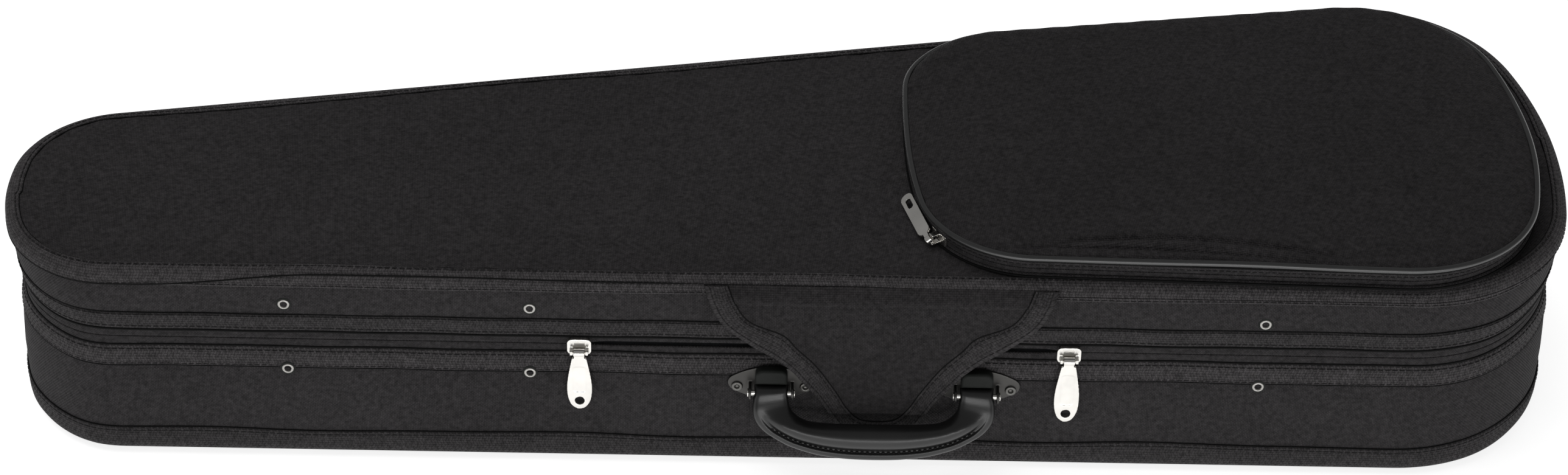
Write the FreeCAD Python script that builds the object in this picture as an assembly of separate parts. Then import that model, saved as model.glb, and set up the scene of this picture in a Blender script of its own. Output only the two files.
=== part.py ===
import FreeCAD, Part
import math
import os

# Zipped violin case, millimetres.  +X points to the wide end, -Y to the carrying handle, +Z up.
# The origin is the middle of the plan, on the face that the case lies on.

# Plan: two straight sides that open by the taper angle, closed by a flat arc at each end and
# blended into them by corner arcs.
CASE_LENGTH = 790.0
MID_HALF_WIDTH = 101.5
TAPER_DEG = 5.33
NARROW_RADII = (115.0, 58.0)
WIDE_RADII = (275.0, 86.0)

# Heights of the shell, from the ground up.
BOTTOM_PANEL = 1.4
BASE_BINDING_TOP = 16.5
BASE_BAND_BOTTOM = 57.0
BASE_BAND_TOP = 68.0
ZIP_Z = 73.0
LID_BAND_BOTTOM = 78.0
LID_BAND_TOP = 88.5
LID_BINDING_BOTTOM = 108.5
LID_TOP = 115.0
LID_PANEL_Z = 113.6
LID_PANEL_TOP = 114.8
EDGE_ROUND_TOP = 6.5
EDGE_ROUND_BOTTOM = 8.5
REBATE_LOW = 66.5
REBATE_HIGH = 79.5
SHELL_GAP = 0.2

# Insets of the layers from the outline.
COVER_OUT = 0.8
COVER_IN = 1.8
BAND_OUT = 1.6
BAND_IN = 2.8
TAPE_IN = 3.6
REBATE_INSET = 7.5
FOAM_IN = 15.8
LINING_IN = 17.8
TOP_BINDING_INSET = 9.0
BOTTOM_BINDING_INSET = 12.0
TAPE_HALF_GAP = 0.8

# Interior heights.
BASE_FOAM_FLOOR = 10.4
BASE_FLOOR = 12.4
LID_FOAM_CEILING = 105.6
LID_CEILING = 103.6
INSERT_TOP = 46.0
CAVITY_FLOOR = 16.0

# Cloth hinge along the back.
HINGE_X = (-250.0, 230.0)
HINGE_OUT = 0.4
HINGE_REACH = 10.0

# Hollow rivets in the front wall: distance along the case and height.
BASE_EYELETS = ((-256.0, 56.0), (-136.5, 56.0), (223.5, 55.0))
LID_EYELETS = ((-256.0, 96.0), (-136.0, 96.0), (224.0, 94.0))
EYELET_FLANGE_R = 3.5
EYELET_BARREL_R = 2.5
EYELET_HOLE_R = 1.5

# Zipper sliders of the main zipper.
SLIDER_S = {"left": -112.0, "right": 129.0}
SLIDER_HALF_LENGTH = 6.0
PULL_AXIS_OUT = 3.0
PULL_AXIS_Z = 71.5
PULL_BAR_R = 0.8
PULL_BORE_R = 0.85
PULL_SHAPE = ((1.0, 3.6), (0.82, 4.7), (0.62, 5.7), (0.44, 6.2), (0.28, 6.0), (0.14, 5.0), (0.04, 2.9))

# Handle.
HANDLE_S = 33.5
HANDLE_HALF_SPAN = 51.0
PIN_OUT = 5.0
PIN_Z = 50.0
PIN_R = 1.5
HANDLE_TILT_DEG = 28.5
GRIP_OUTER = ((60.4, -7), (59.9, -11), (57.8, -15.5), (53.8, -19.8), (48.5, -23.2), (42, -26.6), (34, -29.3),
              (26, -31.2), (14, -32.7))
GRIP_INNER = ((41.6, -7), (38.7, -10.6), (35, -13), (30, -14.4), (18, -15.1))
EAR_OFFSET = 10.5
EAR_THICKNESS = 1.2
BRACKET_Z = 52.5
BRACKET_RIVET_Z = 50.5
BRACKET_RIVET_OFFSET = 17.0
KEEPER_HALF = 8.0
KEEPER_Z = (54.8, 63.5)
KEEPER_OUT = (0.4, 5.5)

# Closing flap that hangs from the lid's top seam over the zipper.
FLAP_S = 35.5
FLAP_OUT = 1.7
FLAP_THICKNESS = 1.6
FLAP_EDGE = ((85, 111), (77.5, 93), (62, 79), (50, 71), (41.5, 63), (37, 57), (28.5, 46), (19, 29),
             (14.5, 21.5), (8, 18.3))
FLAP_TIP_Z = 17.8
TRIM_EDGE = ((74.5, 111), (65.5, 94), (48, 85), (41, 77), (31, 66), (21.5, 51), (15.5, 40), (9, 32.5))
TRIM_TIP_Z = 31.0
TRIM_THICKNESS = 0.5

# Zipped pocket on the lid, over the wide end.
POCKET_X = (59.7, 376.8)
POCKET_SIDE_INSET = 13.3
POCKET_NARROW_RADII = (400.0, 57.0)
POCKET_WIDE_RADII = (258.0, 71.0)
POCKET_TURN_DEG = -1.6
POCKET_TURN_X = 218.0
POCKET_SHIFT = (-0.8, -8.2)
POCKET_WALL = 1.6
POCKET_TAPE_IN = 2.4
POCKET_LOWER_TOP = 116.2
POCKET_UPPER_BOTTOM = 122.7
POCKET_UPPER_TOP = 125.4
POCKET_ZIP_Z = 119.6
PIPING_Z = 127.2
PIPING_R = 1.75
POCKET_SLIDER_DEG = 209.0
POCKET_PULL_TURN_DEG = 16.0
POCKET_PULL_OUT = 4.0

# Fittings inside the base.
CAVITY_END_X = 363.0
BODY_HALF = ((0, 42), (6, 72), (30, 97), (80, 109), (128, 99), (160, 71), (198, 62), (232, 72),
             (258, 86), (292, 91), (330, 80), (352, 58), (361, 34))
NECK_HALF = 24.0
NECK_END_X = -232.0
INSERT_SPLITS = (-20.0, 165.0)
BOX_END_X = -250.0
BOX_TOP = 50.0
BOX_WALL = 3.0
BOX_DIVIDER_X = -330.0
STRAP_X = (-80.0, -60.0)
STRAP_PIVOT_Y = 27.0
STRAP_PIVOT_Z = 47.4

# Bow fittings inside the lid.
SPINNER_X = 255.0
SPINNER_Y = 52.0
SPINNER_BASE_Z = 96.6
SLEEVE_X = (-300.0, -262.0)
SLEEVE_HALF = 42.0
SLEEVE_BOTTOM = 94.0

TAPER = math.radians(TAPER_DEG)
X_AXIS = FreeCAD.Vector(1, 0, 0)
Y_AXIS = FreeCAD.Vector(0, 1, 0)
Z_AXIS = FreeCAD.Vector(0, 0, 1)


def vec(x, y, z):
    return FreeCAD.Vector(x, y, z)


def box(x, y, z):
    """A box from three (low, high) pairs."""
    return Part.makeBox(x[1] - x[0], y[1] - y[0], z[1] - z[0], vec(x[0], y[0], z[0]))


def rod(radius, start, end):
    axis = end.sub(start)
    return Part.makeCylinder(radius, axis.Length, start, axis)


def outline_half_width(x):
    return MID_HALF_WIDTH + x * math.tan(TAPER)


# ---------------------------------------------------------------- plan outlines

def corner_centre(apex_x, radii, side_inset, side):
    """Centre of the end arc and of the upper corner arc; side is -1 narrow, +1 wide."""
    end_r, corner_r = radii
    end_x = apex_x - side * end_r
    slope = math.tan(TAPER)
    rise = MID_HALF_WIDTH - (side_inset + corner_r) / math.cos(TAPER)
    a = 1 + slope * slope
    b = 2 * (slope * rise - end_x)
    c = end_x ** 2 + rise ** 2 - (end_r - corner_r) ** 2
    x = (-b + side * math.sqrt(b * b - 4 * a * c)) / (2 * a)
    return end_x, x, rise + slope * x


def arc_edge(x, y, radius, start, end, z):
    points = []
    for angle in (start, (start + end) / 2, end):
        points.append(vec(x + radius * math.cos(angle), y + radius * math.sin(angle), z))
    return Part.Arc(*points).toShape()


def tapered_wire(z, x_ends, side_inset, narrow, wide, inset):
    """The closed outline, moved in by inset everywhere; all of its pieces meet tangentially."""
    narrow_end, narrow_x, narrow_y = corner_centre(x_ends[0], narrow, side_inset, -1)
    wide_end, wide_x, wide_y = corner_centre(x_ends[1], wide, side_inset, 1)
    wide_turn = math.atan2(wide_y, wide_x - wide_end)
    narrow_turn = math.atan2(narrow_y, narrow_x - narrow_end)
    side_turn = math.pi / 2 + TAPER
    full = 2 * math.pi
    arcs = [
        arc_edge(wide_end, 0, wide[0] - inset, -wide_turn, wide_turn, z),
        arc_edge(wide_x, wide_y, wide[1] - inset, wide_turn, side_turn, z),
        arc_edge(narrow_x, narrow_y, narrow[1] - inset, side_turn, narrow_turn, z),
        arc_edge(narrow_end, 0, narrow[0] - inset, narrow_turn, full - narrow_turn, z),
        arc_edge(narrow_x, -narrow_y, narrow[1] - inset, full - narrow_turn, full - side_turn, z),
        arc_edge(wide_x, -wide_y, wide[1] - inset, full - side_turn, full - wide_turn, z),
    ]
    upper = Part.makeLine(arcs[1].Vertexes[-1].Point, arcs[2].Vertexes[0].Point)
    lower = Part.makeLine(arcs[4].Vertexes[-1].Point, arcs[5].Vertexes[0].Point)
    return Part.Wire([arcs[0], arcs[1], upper, arcs[2], arcs[3], arcs[4], lower, arcs[5]])


def case_wire(inset, z):
    ends = (-CASE_LENGTH / 2, CASE_LENGTH / 2)
    return tapered_wire(z, ends, 0.0, NARROW_RADII, WIDE_RADII, inset)


def pocket_wire(inset, z):
    return tapered_wire(z, POCKET_X, POCKET_SIDE_INSET, POCKET_NARROW_RADII, POCKET_WIDE_RADII, inset)


def prism(wire, height):
    return Part.Face(wire).extrude(vec(0, 0, height))


def edges_at(shape, z):
    return [e for e in shape.Edges if abs(e.BoundBox.ZMin - z) < 1e-4 and abs(e.BoundBox.ZMax - z) < 1e-4]


def case_block(inset, z0, z1, round_bottom=0.0, round_top=0.0):
    block = prism(case_wire(inset, z0), z1 - z0)
    if round_bottom:
        block = block.makeFillet(round_bottom, edges_at(block, z0))
    if round_top:
        block = block.makeFillet(round_top, edges_at(block, z1))
    return block


def case_ring(outer, inner, z0, z1):
    return case_block(outer, z0, z1).cut(case_block(inner, z0, z1))


def pocket_ring(outer, inner, z0, z1):
    return prism(pocket_wire(outer, z0), z1 - z0).cut(prism(pocket_wire(inner, z0), z1 - z0))


# ---------------------------------------------------------------- front wall frame

def on_front(shape, s):
    """Moves a shape drawn on a wall at y = 0, outside at -y, to the front wall at x = s."""
    moved = shape.copy()
    moved.rotate(vec(0, 0, 0), Z_AXIS, -TAPER_DEG)
    moved.translate(vec(s, -outline_half_width(s), 0))
    return moved


def front_box(u, out, z):
    return box(u, (-out[1], -out[0]), z)


def front_rod(radius, u, z, out):
    return rod(radius, vec(u, -out[0], z), vec(u, -out[1], z))


def eyelet_bores(places):
    bores = [on_front(front_rod(EYELET_BARREL_R, 0, z, (-30, 5)), s) for s, z in places]
    return Part.makeCompound(bores)


def bracket_places():
    return [HANDLE_S - HANDLE_HALF_SPAN * math.cos(TAPER), HANDLE_S + HANDLE_HALF_SPAN * math.cos(TAPER)]


def bracket_bores():
    bores = []
    for s in bracket_places():
        for u in (-BRACKET_RIVET_OFFSET, BRACKET_RIVET_OFFSET):
            bores.append(on_front(front_rod(1.6, u, BRACKET_RIVET_Z, (-30, 5)), s))
    return Part.makeCompound(bores)


def back_hinge_zone(z0, z1):
    return box(HINGE_X, (0, 200), (z0, z1))


# ---------------------------------------------------------------- base shell

def base_core():
    low = case_block(COVER_IN, BOTTOM_PANEL, BASE_BAND_BOTTOM, round_bottom=7.0)
    middle = case_block(BAND_IN, BASE_BAND_BOTTOM, REBATE_LOW)
    rim = case_block(REBATE_INSET, REBATE_LOW, ZIP_Z - SHELL_GAP)
    return low.fuse([middle, rim]).removeSplitter()


def base_foam_shell():
    cavity = case_block(FOAM_IN, BASE_FOAM_FLOOR, ZIP_Z + 5, round_bottom=8.0)
    return base_core().cut([cavity, eyelet_bores(BASE_EYELETS), bracket_bores()])


def base_bottom_panel():
    return case_block(BOTTOM_BINDING_INSET, 0, BOTTOM_PANEL)


def base_edge_binding():
    skin = case_block(0, 0, BASE_BINDING_TOP, round_bottom=EDGE_ROUND_BOTTOM)
    core = case_block(COVER_IN, BOTTOM_PANEL, BASE_BAND_BOTTOM, round_bottom=7.0)
    middle = case_block(BOTTOM_BINDING_INSET, -1, 5)
    return skin.cut([core, middle])


def base_side_cover():
    ring = case_ring(COVER_OUT, COVER_IN, BASE_BINDING_TOP, BASE_BAND_BOTTOM)
    return ring.cut([eyelet_bores(BASE_EYELETS), bracket_bores()])


def base_zip_band():
    ring = case_ring(BAND_OUT, BAND_IN, BASE_BAND_BOTTOM, BASE_BAND_TOP)
    return ring.cut(eyelet_bores(BASE_EYELETS))


def base_zip_tape():
    ring = case_ring(BAND_IN, TAPE_IN, REBATE_LOW, ZIP_Z - TAPE_HALF_GAP)
    return ring.cut(back_hinge_zone(0, 100))


def hinge_strip(z0, z1, band_z0, band_z1):
    ring = case_ring(HINGE_OUT, BAND_IN, z0, z1).common(back_hinge_zone(z0, z1))
    return ring.cut(case_ring(BAND_OUT, BAND_IN, band_z0, band_z1))


def base_lining():
    outer = case_block(FOAM_IN, BASE_FOAM_FLOOR, ZIP_Z - SHELL_GAP, round_bottom=8.0)
    inner = case_block(LINING_IN, BASE_FLOOR, ZIP_Z + 5, round_bottom=6.0)
    return outer.cut([inner, eyelet_bores(BASE_EYELETS), bracket_bores()])


# ---------------------------------------------------------------- lid shell

def lid_core():
    high = case_block(COVER_IN, LID_BAND_TOP, LID_PANEL_Z, round_top=5.0)
    middle = case_block(BAND_IN, REBATE_HIGH, LID_BAND_TOP)
    rim = case_block(REBATE_INSET, ZIP_Z + SHELL_GAP, REBATE_HIGH)
    return high.fuse([middle, rim]).removeSplitter()


def lid_foam_shell():
    cavity = case_block(FOAM_IN, ZIP_Z - 5, LID_FOAM_CEILING, round_top=5.0)
    return lid_core().cut([cavity, eyelet_bores(LID_EYELETS)])


def lid_top_panel():
    return case_block(TOP_BINDING_INSET, LID_PANEL_Z, LID_PANEL_TOP)


def lid_edge_binding():
    skin = case_block(0, LID_BINDING_BOTTOM, LID_TOP, round_top=EDGE_ROUND_TOP - 0.01)
    core = case_block(COVER_IN, LID_BAND_TOP, LID_PANEL_Z, round_top=5.0)
    middle = case_block(TOP_BINDING_INSET, LID_TOP - 5, LID_TOP + 5)
    return skin.cut([core, middle])


def lid_side_cover():
    ring = case_ring(COVER_OUT, COVER_IN, LID_BAND_TOP, LID_BINDING_BOTTOM)
    return ring.cut(eyelet_bores(LID_EYELETS))


def lid_zip_band():
    return case_ring(BAND_OUT, BAND_IN, LID_BAND_BOTTOM, LID_BAND_TOP)


def lid_zip_tape():
    ring = case_ring(BAND_IN, TAPE_IN, ZIP_Z + TAPE_HALF_GAP, REBATE_HIGH)
    return ring.cut(back_hinge_zone(0, 100))


def lid_lining():
    outer = case_block(FOAM_IN, ZIP_Z + SHELL_GAP, LID_FOAM_CEILING, round_top=5.0)
    inner = case_block(LINING_IN, ZIP_Z - 5, LID_CEILING, round_top=3.0)
    return outer.cut([inner, eyelet_bores(LID_EYELETS)])


# ---------------------------------------------------------------- hollow rivets

def eyelets(places):
    shapes = []
    for s, z in places:
        flange = front_rod(EYELET_FLANGE_R, 0, z, (-COVER_OUT, 0.1))
        flange = flange.makeFillet(0.6, [flange.Edges[0]])
        barrel = front_rod(EYELET_BARREL_R, 0, z, (-LINING_IN - 0.8, -COVER_OUT))
        hole = front_rod(EYELET_HOLE_R, 0, z, (-30, 5))
        shapes.append(on_front(flange.fuse(barrel).cut(hole).removeSplitter(), s))
    return Part.makeCompound(shapes)


def eyelet_washers(places):
    shapes = []
    for s, z in places:
        disc = front_rod(4.5, 0, z, (-LINING_IN - 0.8, -LINING_IN))
        hole = front_rod(EYELET_BARREL_R, 0, z, (-30, 5))
        shapes.append(on_front(disc.cut(hole), s))
    return Part.makeCompound(shapes)


# ---------------------------------------------------------------- handle

def lens_face(length, height, z):
    """Pointed oval in the wall plane."""
    left = vec(-length / 2, 0, z)
    right = vec(length / 2, 0, z)
    top = Part.Arc(left, vec(0, 0, z + height / 2), right).toShape()
    bottom = Part.Arc(right, vec(0, 0, z - height / 2), left).toShape()
    return Part.Face(Part.Wire([top, bottom]))


def handle_bracket(s, outer_side):
    """A leaf-shaped plate, blunt at the end away from the handle, with two ears for the pin."""
    plate = lens_face(49, 20, BRACKET_Z).extrude(vec(0, -1.2, 0))
    for radius, side in ((5.0, outer_side), (1.0, -outer_side)):
        tip = [e for e in plate.Edges if e.BoundBox.YLength > 1.1 and e.BoundBox.XMax * side > 24]
        plate = plate.makeFillet(radius, tip)
    plate.translate(vec(0, COVER_OUT, 0))
    for u in (-EAR_OFFSET, EAR_OFFSET):
        ear_u = (u - EAR_THICKNESS / 2, u + EAR_THICKNESS / 2)
        root = front_box(ear_u, (0.2, PIN_OUT), (PIN_Z - 3.5, PIN_Z + 3.5))
        nose = rod(3.5, vec(ear_u[0], -PIN_OUT, PIN_Z), vec(ear_u[1], -PIN_OUT, PIN_Z))
        plate = plate.fuse([root, nose])
    cuts = [rod(PIN_R, vec(-30, -PIN_OUT, PIN_Z), vec(30, -PIN_OUT, PIN_Z))]
    for u in (-BRACKET_RIVET_OFFSET, BRACKET_RIVET_OFFSET):
        cuts.append(front_rod(1.6, u, BRACKET_RIVET_Z, (-5, 5)))
    return on_front(plate.cut(cuts).removeSplitter(), s)


def bracket_rivets():
    shapes = []
    for s in bracket_places():
        for u in (-BRACKET_RIVET_OFFSET, BRACKET_RIVET_OFFSET):
            head = front_rod(2.9, u, BRACKET_RIVET_Z, (0.4, 1.4))
            head = head.makeFillet(0.7, [head.Edges[0]])
            shank = front_rod(1.6, u, BRACKET_RIVET_Z, (-LINING_IN - 1.0, 0.4))
            burr = front_rod(4.0, u, BRACKET_RIVET_Z, (-LINING_IN - 1.0, -LINING_IN))
            shapes.append(on_front(head.fuse([shank, burr]).removeSplitter(), s))
    return Part.makeCompound(shapes)


def bracket_keepers():
    """Moulded humps on the brackets, just above the handle's pins."""
    shapes = []
    for s in bracket_places():
        hump = front_box((-KEEPER_HALF, KEEPER_HALF), KEEPER_OUT, KEEPER_Z)
        corners = [e for e in edges_at(hump, KEEPER_Z[1]) if e.BoundBox.XLength < 1e-4]
        hump = hump.makeFillet(4.0, corners)
        front_edges = [e for e in hump.Edges if e.BoundBox.YMax < 1e-4 - KEEPER_OUT[1]]
        hump = hump.makeFillet(1.8, front_edges)
        shapes.append(on_front(hump, s))
    return Part.makeCompound(shapes)


def handle_pins():
    shapes = []
    for s in bracket_places():
        reach = EAR_OFFSET + EAR_THICKNESS / 2
        pin = rod(PIN_R, vec(-reach - 0.8, -PIN_OUT, PIN_Z), vec(reach + 0.8, -PIN_OUT, PIN_Z))
        for side in (-1, 1):
            start = vec(side * reach, -PIN_OUT, PIN_Z)
            pin = pin.fuse(rod(2.2, start, start.add(vec(side * 0.8, 0, 0))))
        shapes.append(on_front(pin.removeSplitter(), s))
    return Part.makeCompound(shapes)


def place_handle(shape):
    """From the handle's own plane, pivot line at the origin, to its hanging place."""
    moved = shape.copy()
    moved.rotate(vec(0, 0, 0), X_AXIS, -HANDLE_TILT_DEG)
    moved.translate(vec(0, -PIN_OUT, PIN_Z))
    return on_front(moved, HANDLE_S)


def handle_loops_local():
    loops = []
    for u in (-HANDLE_HALF_SPAN, HANDLE_HALF_SPAN):
        ring = rod(4.0, vec(u - 8.5, 0, 0), vec(u + 8.5, 0, 0))
        tail = box((u - 7.5, u + 7.5), (-2.4, 2.4), (-16, 0))
        bore = rod(PIN_R + 0.05, vec(u - 10, 0, 0), vec(u + 10, 0, 0))
        loops.append(ring.fuse(tail).cut(bore).removeSplitter())
    return loops


def mirrored_spline(points, tip_z):
    """A symmetric smooth curve in the wall plane, from +u over the tip to -u."""
    right = [vec(u, 0, z) for u, z in points]
    left = [vec(-u, 0, z) for u, z in reversed(points)]
    curve = Part.BSplineCurve()
    curve.interpolate(right + [vec(0, 0, tip_z)] + left)
    return curve.toShape()


def closed_by_lines(outer, inner):
    """Joins two open curves end to end with straight lines into one closed wire."""
    outer_start, outer_end = outer.Vertexes[0].Point, outer.Vertexes[-1].Point
    inner_start, inner_end = inner.Vertexes[0].Point, inner.Vertexes[-1].Point
    right = Part.makeLine(inner_start, outer_start)
    left = Part.makeLine(outer_end, inner_end)
    return Part.Wire(Part.__sortEdges__([outer, left, inner, right]))


def handle_grip():
    outer = mirrored_spline(GRIP_OUTER, -33.1)
    inner = mirrored_spline(GRIP_INNER, -15.2)
    half = 7.5
    slab = Part.Face(closed_by_lines(outer, inner)).extrude(vec(0, 2 * half, 0))
    slab.translate(vec(0, -half, 0))
    long_edges = [e for e in slab.Edges if e.Length > 60 and e.BoundBox.YLength < 0.1]
    slab = slab.makeFillet(6.4, long_edges)
    side = [vec(-80, -3.6, -6), vec(-80, -3.6, -8), vec(-80, -half, -18), vec(-80, -half, -40),
            vec(-80, half, -40), vec(-80, half, -18), vec(-80, 3.6, -8), vec(-80, 3.6, -6)]
    taper = Part.Face(Part.makePolygon(side + side[:1])).extrude(vec(160, 0, 0))
    grip = slab.common(taper)
    return place_handle(grip.cut(handle_loops_local()))


def handle_end_loops():
    return Part.makeCompound([place_handle(loop) for loop in handle_loops_local()])


# ---------------------------------------------------------------- closing flap

def flap_outline(points, tip_z):
    curve = mirrored_spline(points, tip_z)
    top = Part.makeLine(curve.Vertexes[0].Point, curve.Vertexes[-1].Point)
    return Part.Face(Part.Wire([curve, top]))


def flap_panel():
    panel = flap_outline(FLAP_EDGE, FLAP_TIP_Z).extrude(vec(0, -FLAP_THICKNESS, 0))
    panel.translate(vec(0, -FLAP_OUT, 0))
    root = front_box((-80, 80), (0.35, FLAP_OUT), (105.5, 111))
    return on_front(panel.fuse(root).removeSplitter(), FLAP_S)


def flap_trim():
    outer = flap_outline(FLAP_EDGE, FLAP_TIP_Z).extrude(vec(0, -TRIM_THICKNESS, 0))
    inner = flap_outline(TRIM_EDGE, TRIM_TIP_Z).extrude(vec(0, -TRIM_THICKNESS, 0))
    trim = outer.cut(inner)
    trim.translate(vec(0, -FLAP_OUT - FLAP_THICKNESS, 0))
    return on_front(trim, FLAP_S)


def flap_hook_pad():
    pad = front_box((-10.5, 10.5), (0.7, FLAP_OUT), (25, 43))
    return on_front(pad.makeFillet(3.0, [e for e in pad.Edges if e.BoundBox.YLength > 0.9]), FLAP_S)


def flap_loop_pad():
    pad = front_box((-12, 12), (-COVER_OUT, 0.35), (22, 46))
    return on_front(pad.makeFillet(3.0, [e for e in pad.Edges if e.BoundBox.YLength > 0.9]), FLAP_S)


# ---------------------------------------------------------------- main zipper sliders

def zip_slider(s):
    half = SLIDER_HALF_LENGTH
    front = front_box((-half, half), (-2.5, 0.5), (68.3, 77.7))
    front = front.makeFillet(2.6, [e for e in front.Edges if e.BoundBox.YLength > 2.9])
    back = front_box((-half, half), (-5.4, -3.9), (68.5, 77.5))
    back = back.makeFillet(2.6, [e for e in back.Edges if e.BoundBox.YLength > 1.4])
    web = front_box((-2, 2), (-3.9, -2.5), (72.6, 73.4))
    parts = [back, web]
    for side in (-1, 1):
        u = (3.2, 4.6) if side > 0 else (-4.6, -3.2)
        parts.append(front_box(u, (0.5, 3.9), (70.3, 72.7)))
    parts.append(rod(PULL_BAR_R, vec(-4, -PULL_AXIS_OUT, PULL_AXIS_Z), vec(4, -PULL_AXIS_OUT, PULL_AXIS_Z)))
    return on_front(front.fuse(parts).removeSplitter(), s)


def pull_plate(z0, z1, out0, out1):
    """A leaf-shaped plate, widest below its middle, with a hole at the tip and a shallow recess."""
    length = z1 - z0
    rim = [(half, z0 + share * length) for share, half in PULL_SHAPE]
    curve = mirrored_spline(rim, z0)
    top = Part.makeLine(curve.Vertexes[-1].Point, curve.Vertexes[0].Point)
    plate = Part.Face(Part.Wire([curve, top])).extrude(vec(0, out0 - out1, 0))
    plate.translate(vec(0, -out0, 0))
    recess = front_box((-3.4, 3.4), (out1 - 0.35, out1 + 1), (z0 + 10.5, z1 - 5))
    recess = recess.makeFillet(2.0, [e for e in recess.Edges if e.BoundBox.YLength > 1.3])
    hole = front_rod(2.4, 0, z0 + 5.2, (out0 - 1, out1 + 1))
    return plate.cut([recess, hole])


def zip_pull(s, tip_z):
    plate = pull_plate(tip_z, 67.6, 1.4, 3.0)
    neck = front_box((-2.6, 2.6), (1.4, 3.0), (66.5, 71.5))
    barrel = rod(2.0, vec(-2.8, -PULL_AXIS_OUT, PULL_AXIS_Z), vec(2.8, -PULL_AXIS_OUT, PULL_AXIS_Z))
    bore = rod(PULL_BORE_R, vec(-5, -PULL_AXIS_OUT, PULL_AXIS_Z), vec(5, -PULL_AXIS_OUT, PULL_AXIS_Z))
    return on_front(plate.fuse([neck, barrel]).cut(bore).removeSplitter(), s)


# ---------------------------------------------------------------- lid pocket

def place_pocket(shape):
    """The pocket is sewn on slightly askew: turned a little and nearer the front."""
    moved = shape.copy()
    moved.rotate(vec(POCKET_TURN_X, 0, 0), Z_AXIS, POCKET_TURN_DEG)
    moved.translate(vec(POCKET_SHIFT[0], POCKET_SHIFT[1], 0))
    return moved


def pocket_top_panel():
    """A crowned cover that stands on a short turned-down edge."""
    def dome(inset, z0, rim_z):
        side = prism(pocket_wire(inset, z0), rim_z - z0)
        rings = [pocket_wire(inset, rim_z), pocket_wire(inset + 12, rim_z + 2.6), pocket_wire(inset + 38, rim_z + 4)]
        return side.fuse(Part.makeLoft(rings, True, True))
    outer = dome(PIPING_R + 0.05, PIPING_Z - 1.6, PIPING_Z + 1.0)
    inner = dome(PIPING_R + 1.65, PIPING_Z - 3.0, PIPING_Z - 0.5)
    return place_pocket(outer.cut(inner).removeSplitter())


def pocket_piping():
    path = pocket_wire(0, PIPING_Z)
    start = path.Edges[0].Vertexes[0].Point
    tangent = path.Edges[0].tangentAt(path.Edges[0].FirstParameter)
    profile = Part.Wire([Part.makeCircle(PIPING_R, start, tangent)])
    return place_pocket(path.makePipeShell([profile], True, True))


def pocket_upper_gusset():
    return place_pocket(pocket_ring(0, POCKET_WALL, POCKET_UPPER_BOTTOM, POCKET_UPPER_TOP))


def pocket_zip_tape_upper():
    z = (POCKET_ZIP_Z + TAPE_HALF_GAP, POCKET_UPPER_BOTTOM + 1)
    return place_pocket(pocket_ring(POCKET_WALL, POCKET_TAPE_IN, *z))


def pocket_base_strip():
    """Sewn down on the lid: its lower edge follows the panel and the rolled binding."""
    ring = place_pocket(pocket_ring(0, POCKET_WALL, LID_PANEL_Z, POCKET_LOWER_TOP))
    return ring.cut([lid_top_panel(), lid_edge_binding()]).Solids[0]


def pocket_zip_tape_lower():
    z = (LID_TOP + 0.1, POCKET_ZIP_Z - TAPE_HALF_GAP)
    return place_pocket(pocket_ring(POCKET_WALL, POCKET_TAPE_IN, *z))


def pocket_corner():
    """Centre of the corner arc that the slider runs round, at the front left."""
    end_x, x, y = corner_centre(POCKET_X[0], POCKET_NARROW_RADII, POCKET_SIDE_INSET, -1)
    return x, -y


def corner_sector(out, z, half_deg):
    """A curved block on the pocket's front-left corner, out measured from the gusset, z from the zipper."""
    x, y = pocket_corner()
    radius = POCKET_NARROW_RADII[1]
    blocks = []
    for r in (radius + out[1], radius + out[0]):
        block = Part.makeCylinder(r, z[1] - z[0], vec(x, y, POCKET_ZIP_Z + z[0]), Z_AXIS, 2 * half_deg)
        block.rotate(vec(x, y, 0), Z_AXIS, POCKET_SLIDER_DEG - half_deg)
        blocks.append(block)
    return blocks[0].cut(blocks[1])


def pocket_pull_pivot():
    x, y = pocket_corner()
    radius = POCKET_NARROW_RADII[1] + POCKET_PULL_OUT
    angle = math.radians(POCKET_SLIDER_DEG)
    return x + radius * math.cos(angle), y + radius * math.sin(angle)


def pocket_slider():
    post_out = POCKET_PULL_OUT + 0.9
    front = corner_sector((-1.3, 0.4), (-3.0, 2.8), 6)
    web = corner_sector((-2.7, -1.3), (-0.4, 0.4), 2)
    back = corner_sector((-3.9, -2.7), (-2.6, 2.6), 6)
    lower_post = corner_sector((0.4, post_out), (-3.0, -1.9), 1.5)
    upper_post = corner_sector((0.4, post_out), (1.7, 2.8), 1.5)
    x, y = pocket_pull_pivot()
    bar = rod(PULL_BAR_R, vec(x, y, POCKET_ZIP_Z - 2.9), vec(x, y, POCKET_ZIP_Z + 2.7))
    return place_pocket(front.fuse([web, back, lower_post, upper_post, bar]).removeSplitter())


def pocket_pull():
    """Drawn along +X from its pivot at zipper height, then turned to lie along the narrow-end gusset."""
    barrel = rod(2.0, vec(0, 0, -1.6), vec(0, 0, 1.4))
    neck = box((0, 7), (-0.8, 0.8), (-1.5, 1.3))
    plate = box((4.5, 38), (-0.8, 0.8), (-3.6, 3.6))
    plate = plate.makeFillet(3.4, [e for e in plate.Edges if e.BoundBox.YLength > 1.5])
    slot = box((27, 34), (-5, 5), (-1.4, 1.4))
    slot = slot.makeFillet(1.3, [e for e in slot.Edges if e.BoundBox.YLength > 5])
    bore = rod(PULL_BORE_R, vec(0, 0, -5), vec(0, 0, 5))
    pull = barrel.fuse([neck, plate]).cut([slot, bore]).removeSplitter()
    pull.rotate(vec(0, 0, 0), Z_AXIS, POCKET_SLIDER_DEG - 90 - POCKET_PULL_TURN_DEG)
    x, y = pocket_pull_pivot()
    pull.translate(vec(x, y, POCKET_ZIP_Z))
    return place_pocket(pull)


# ---------------------------------------------------------------- fittings in the base

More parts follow.
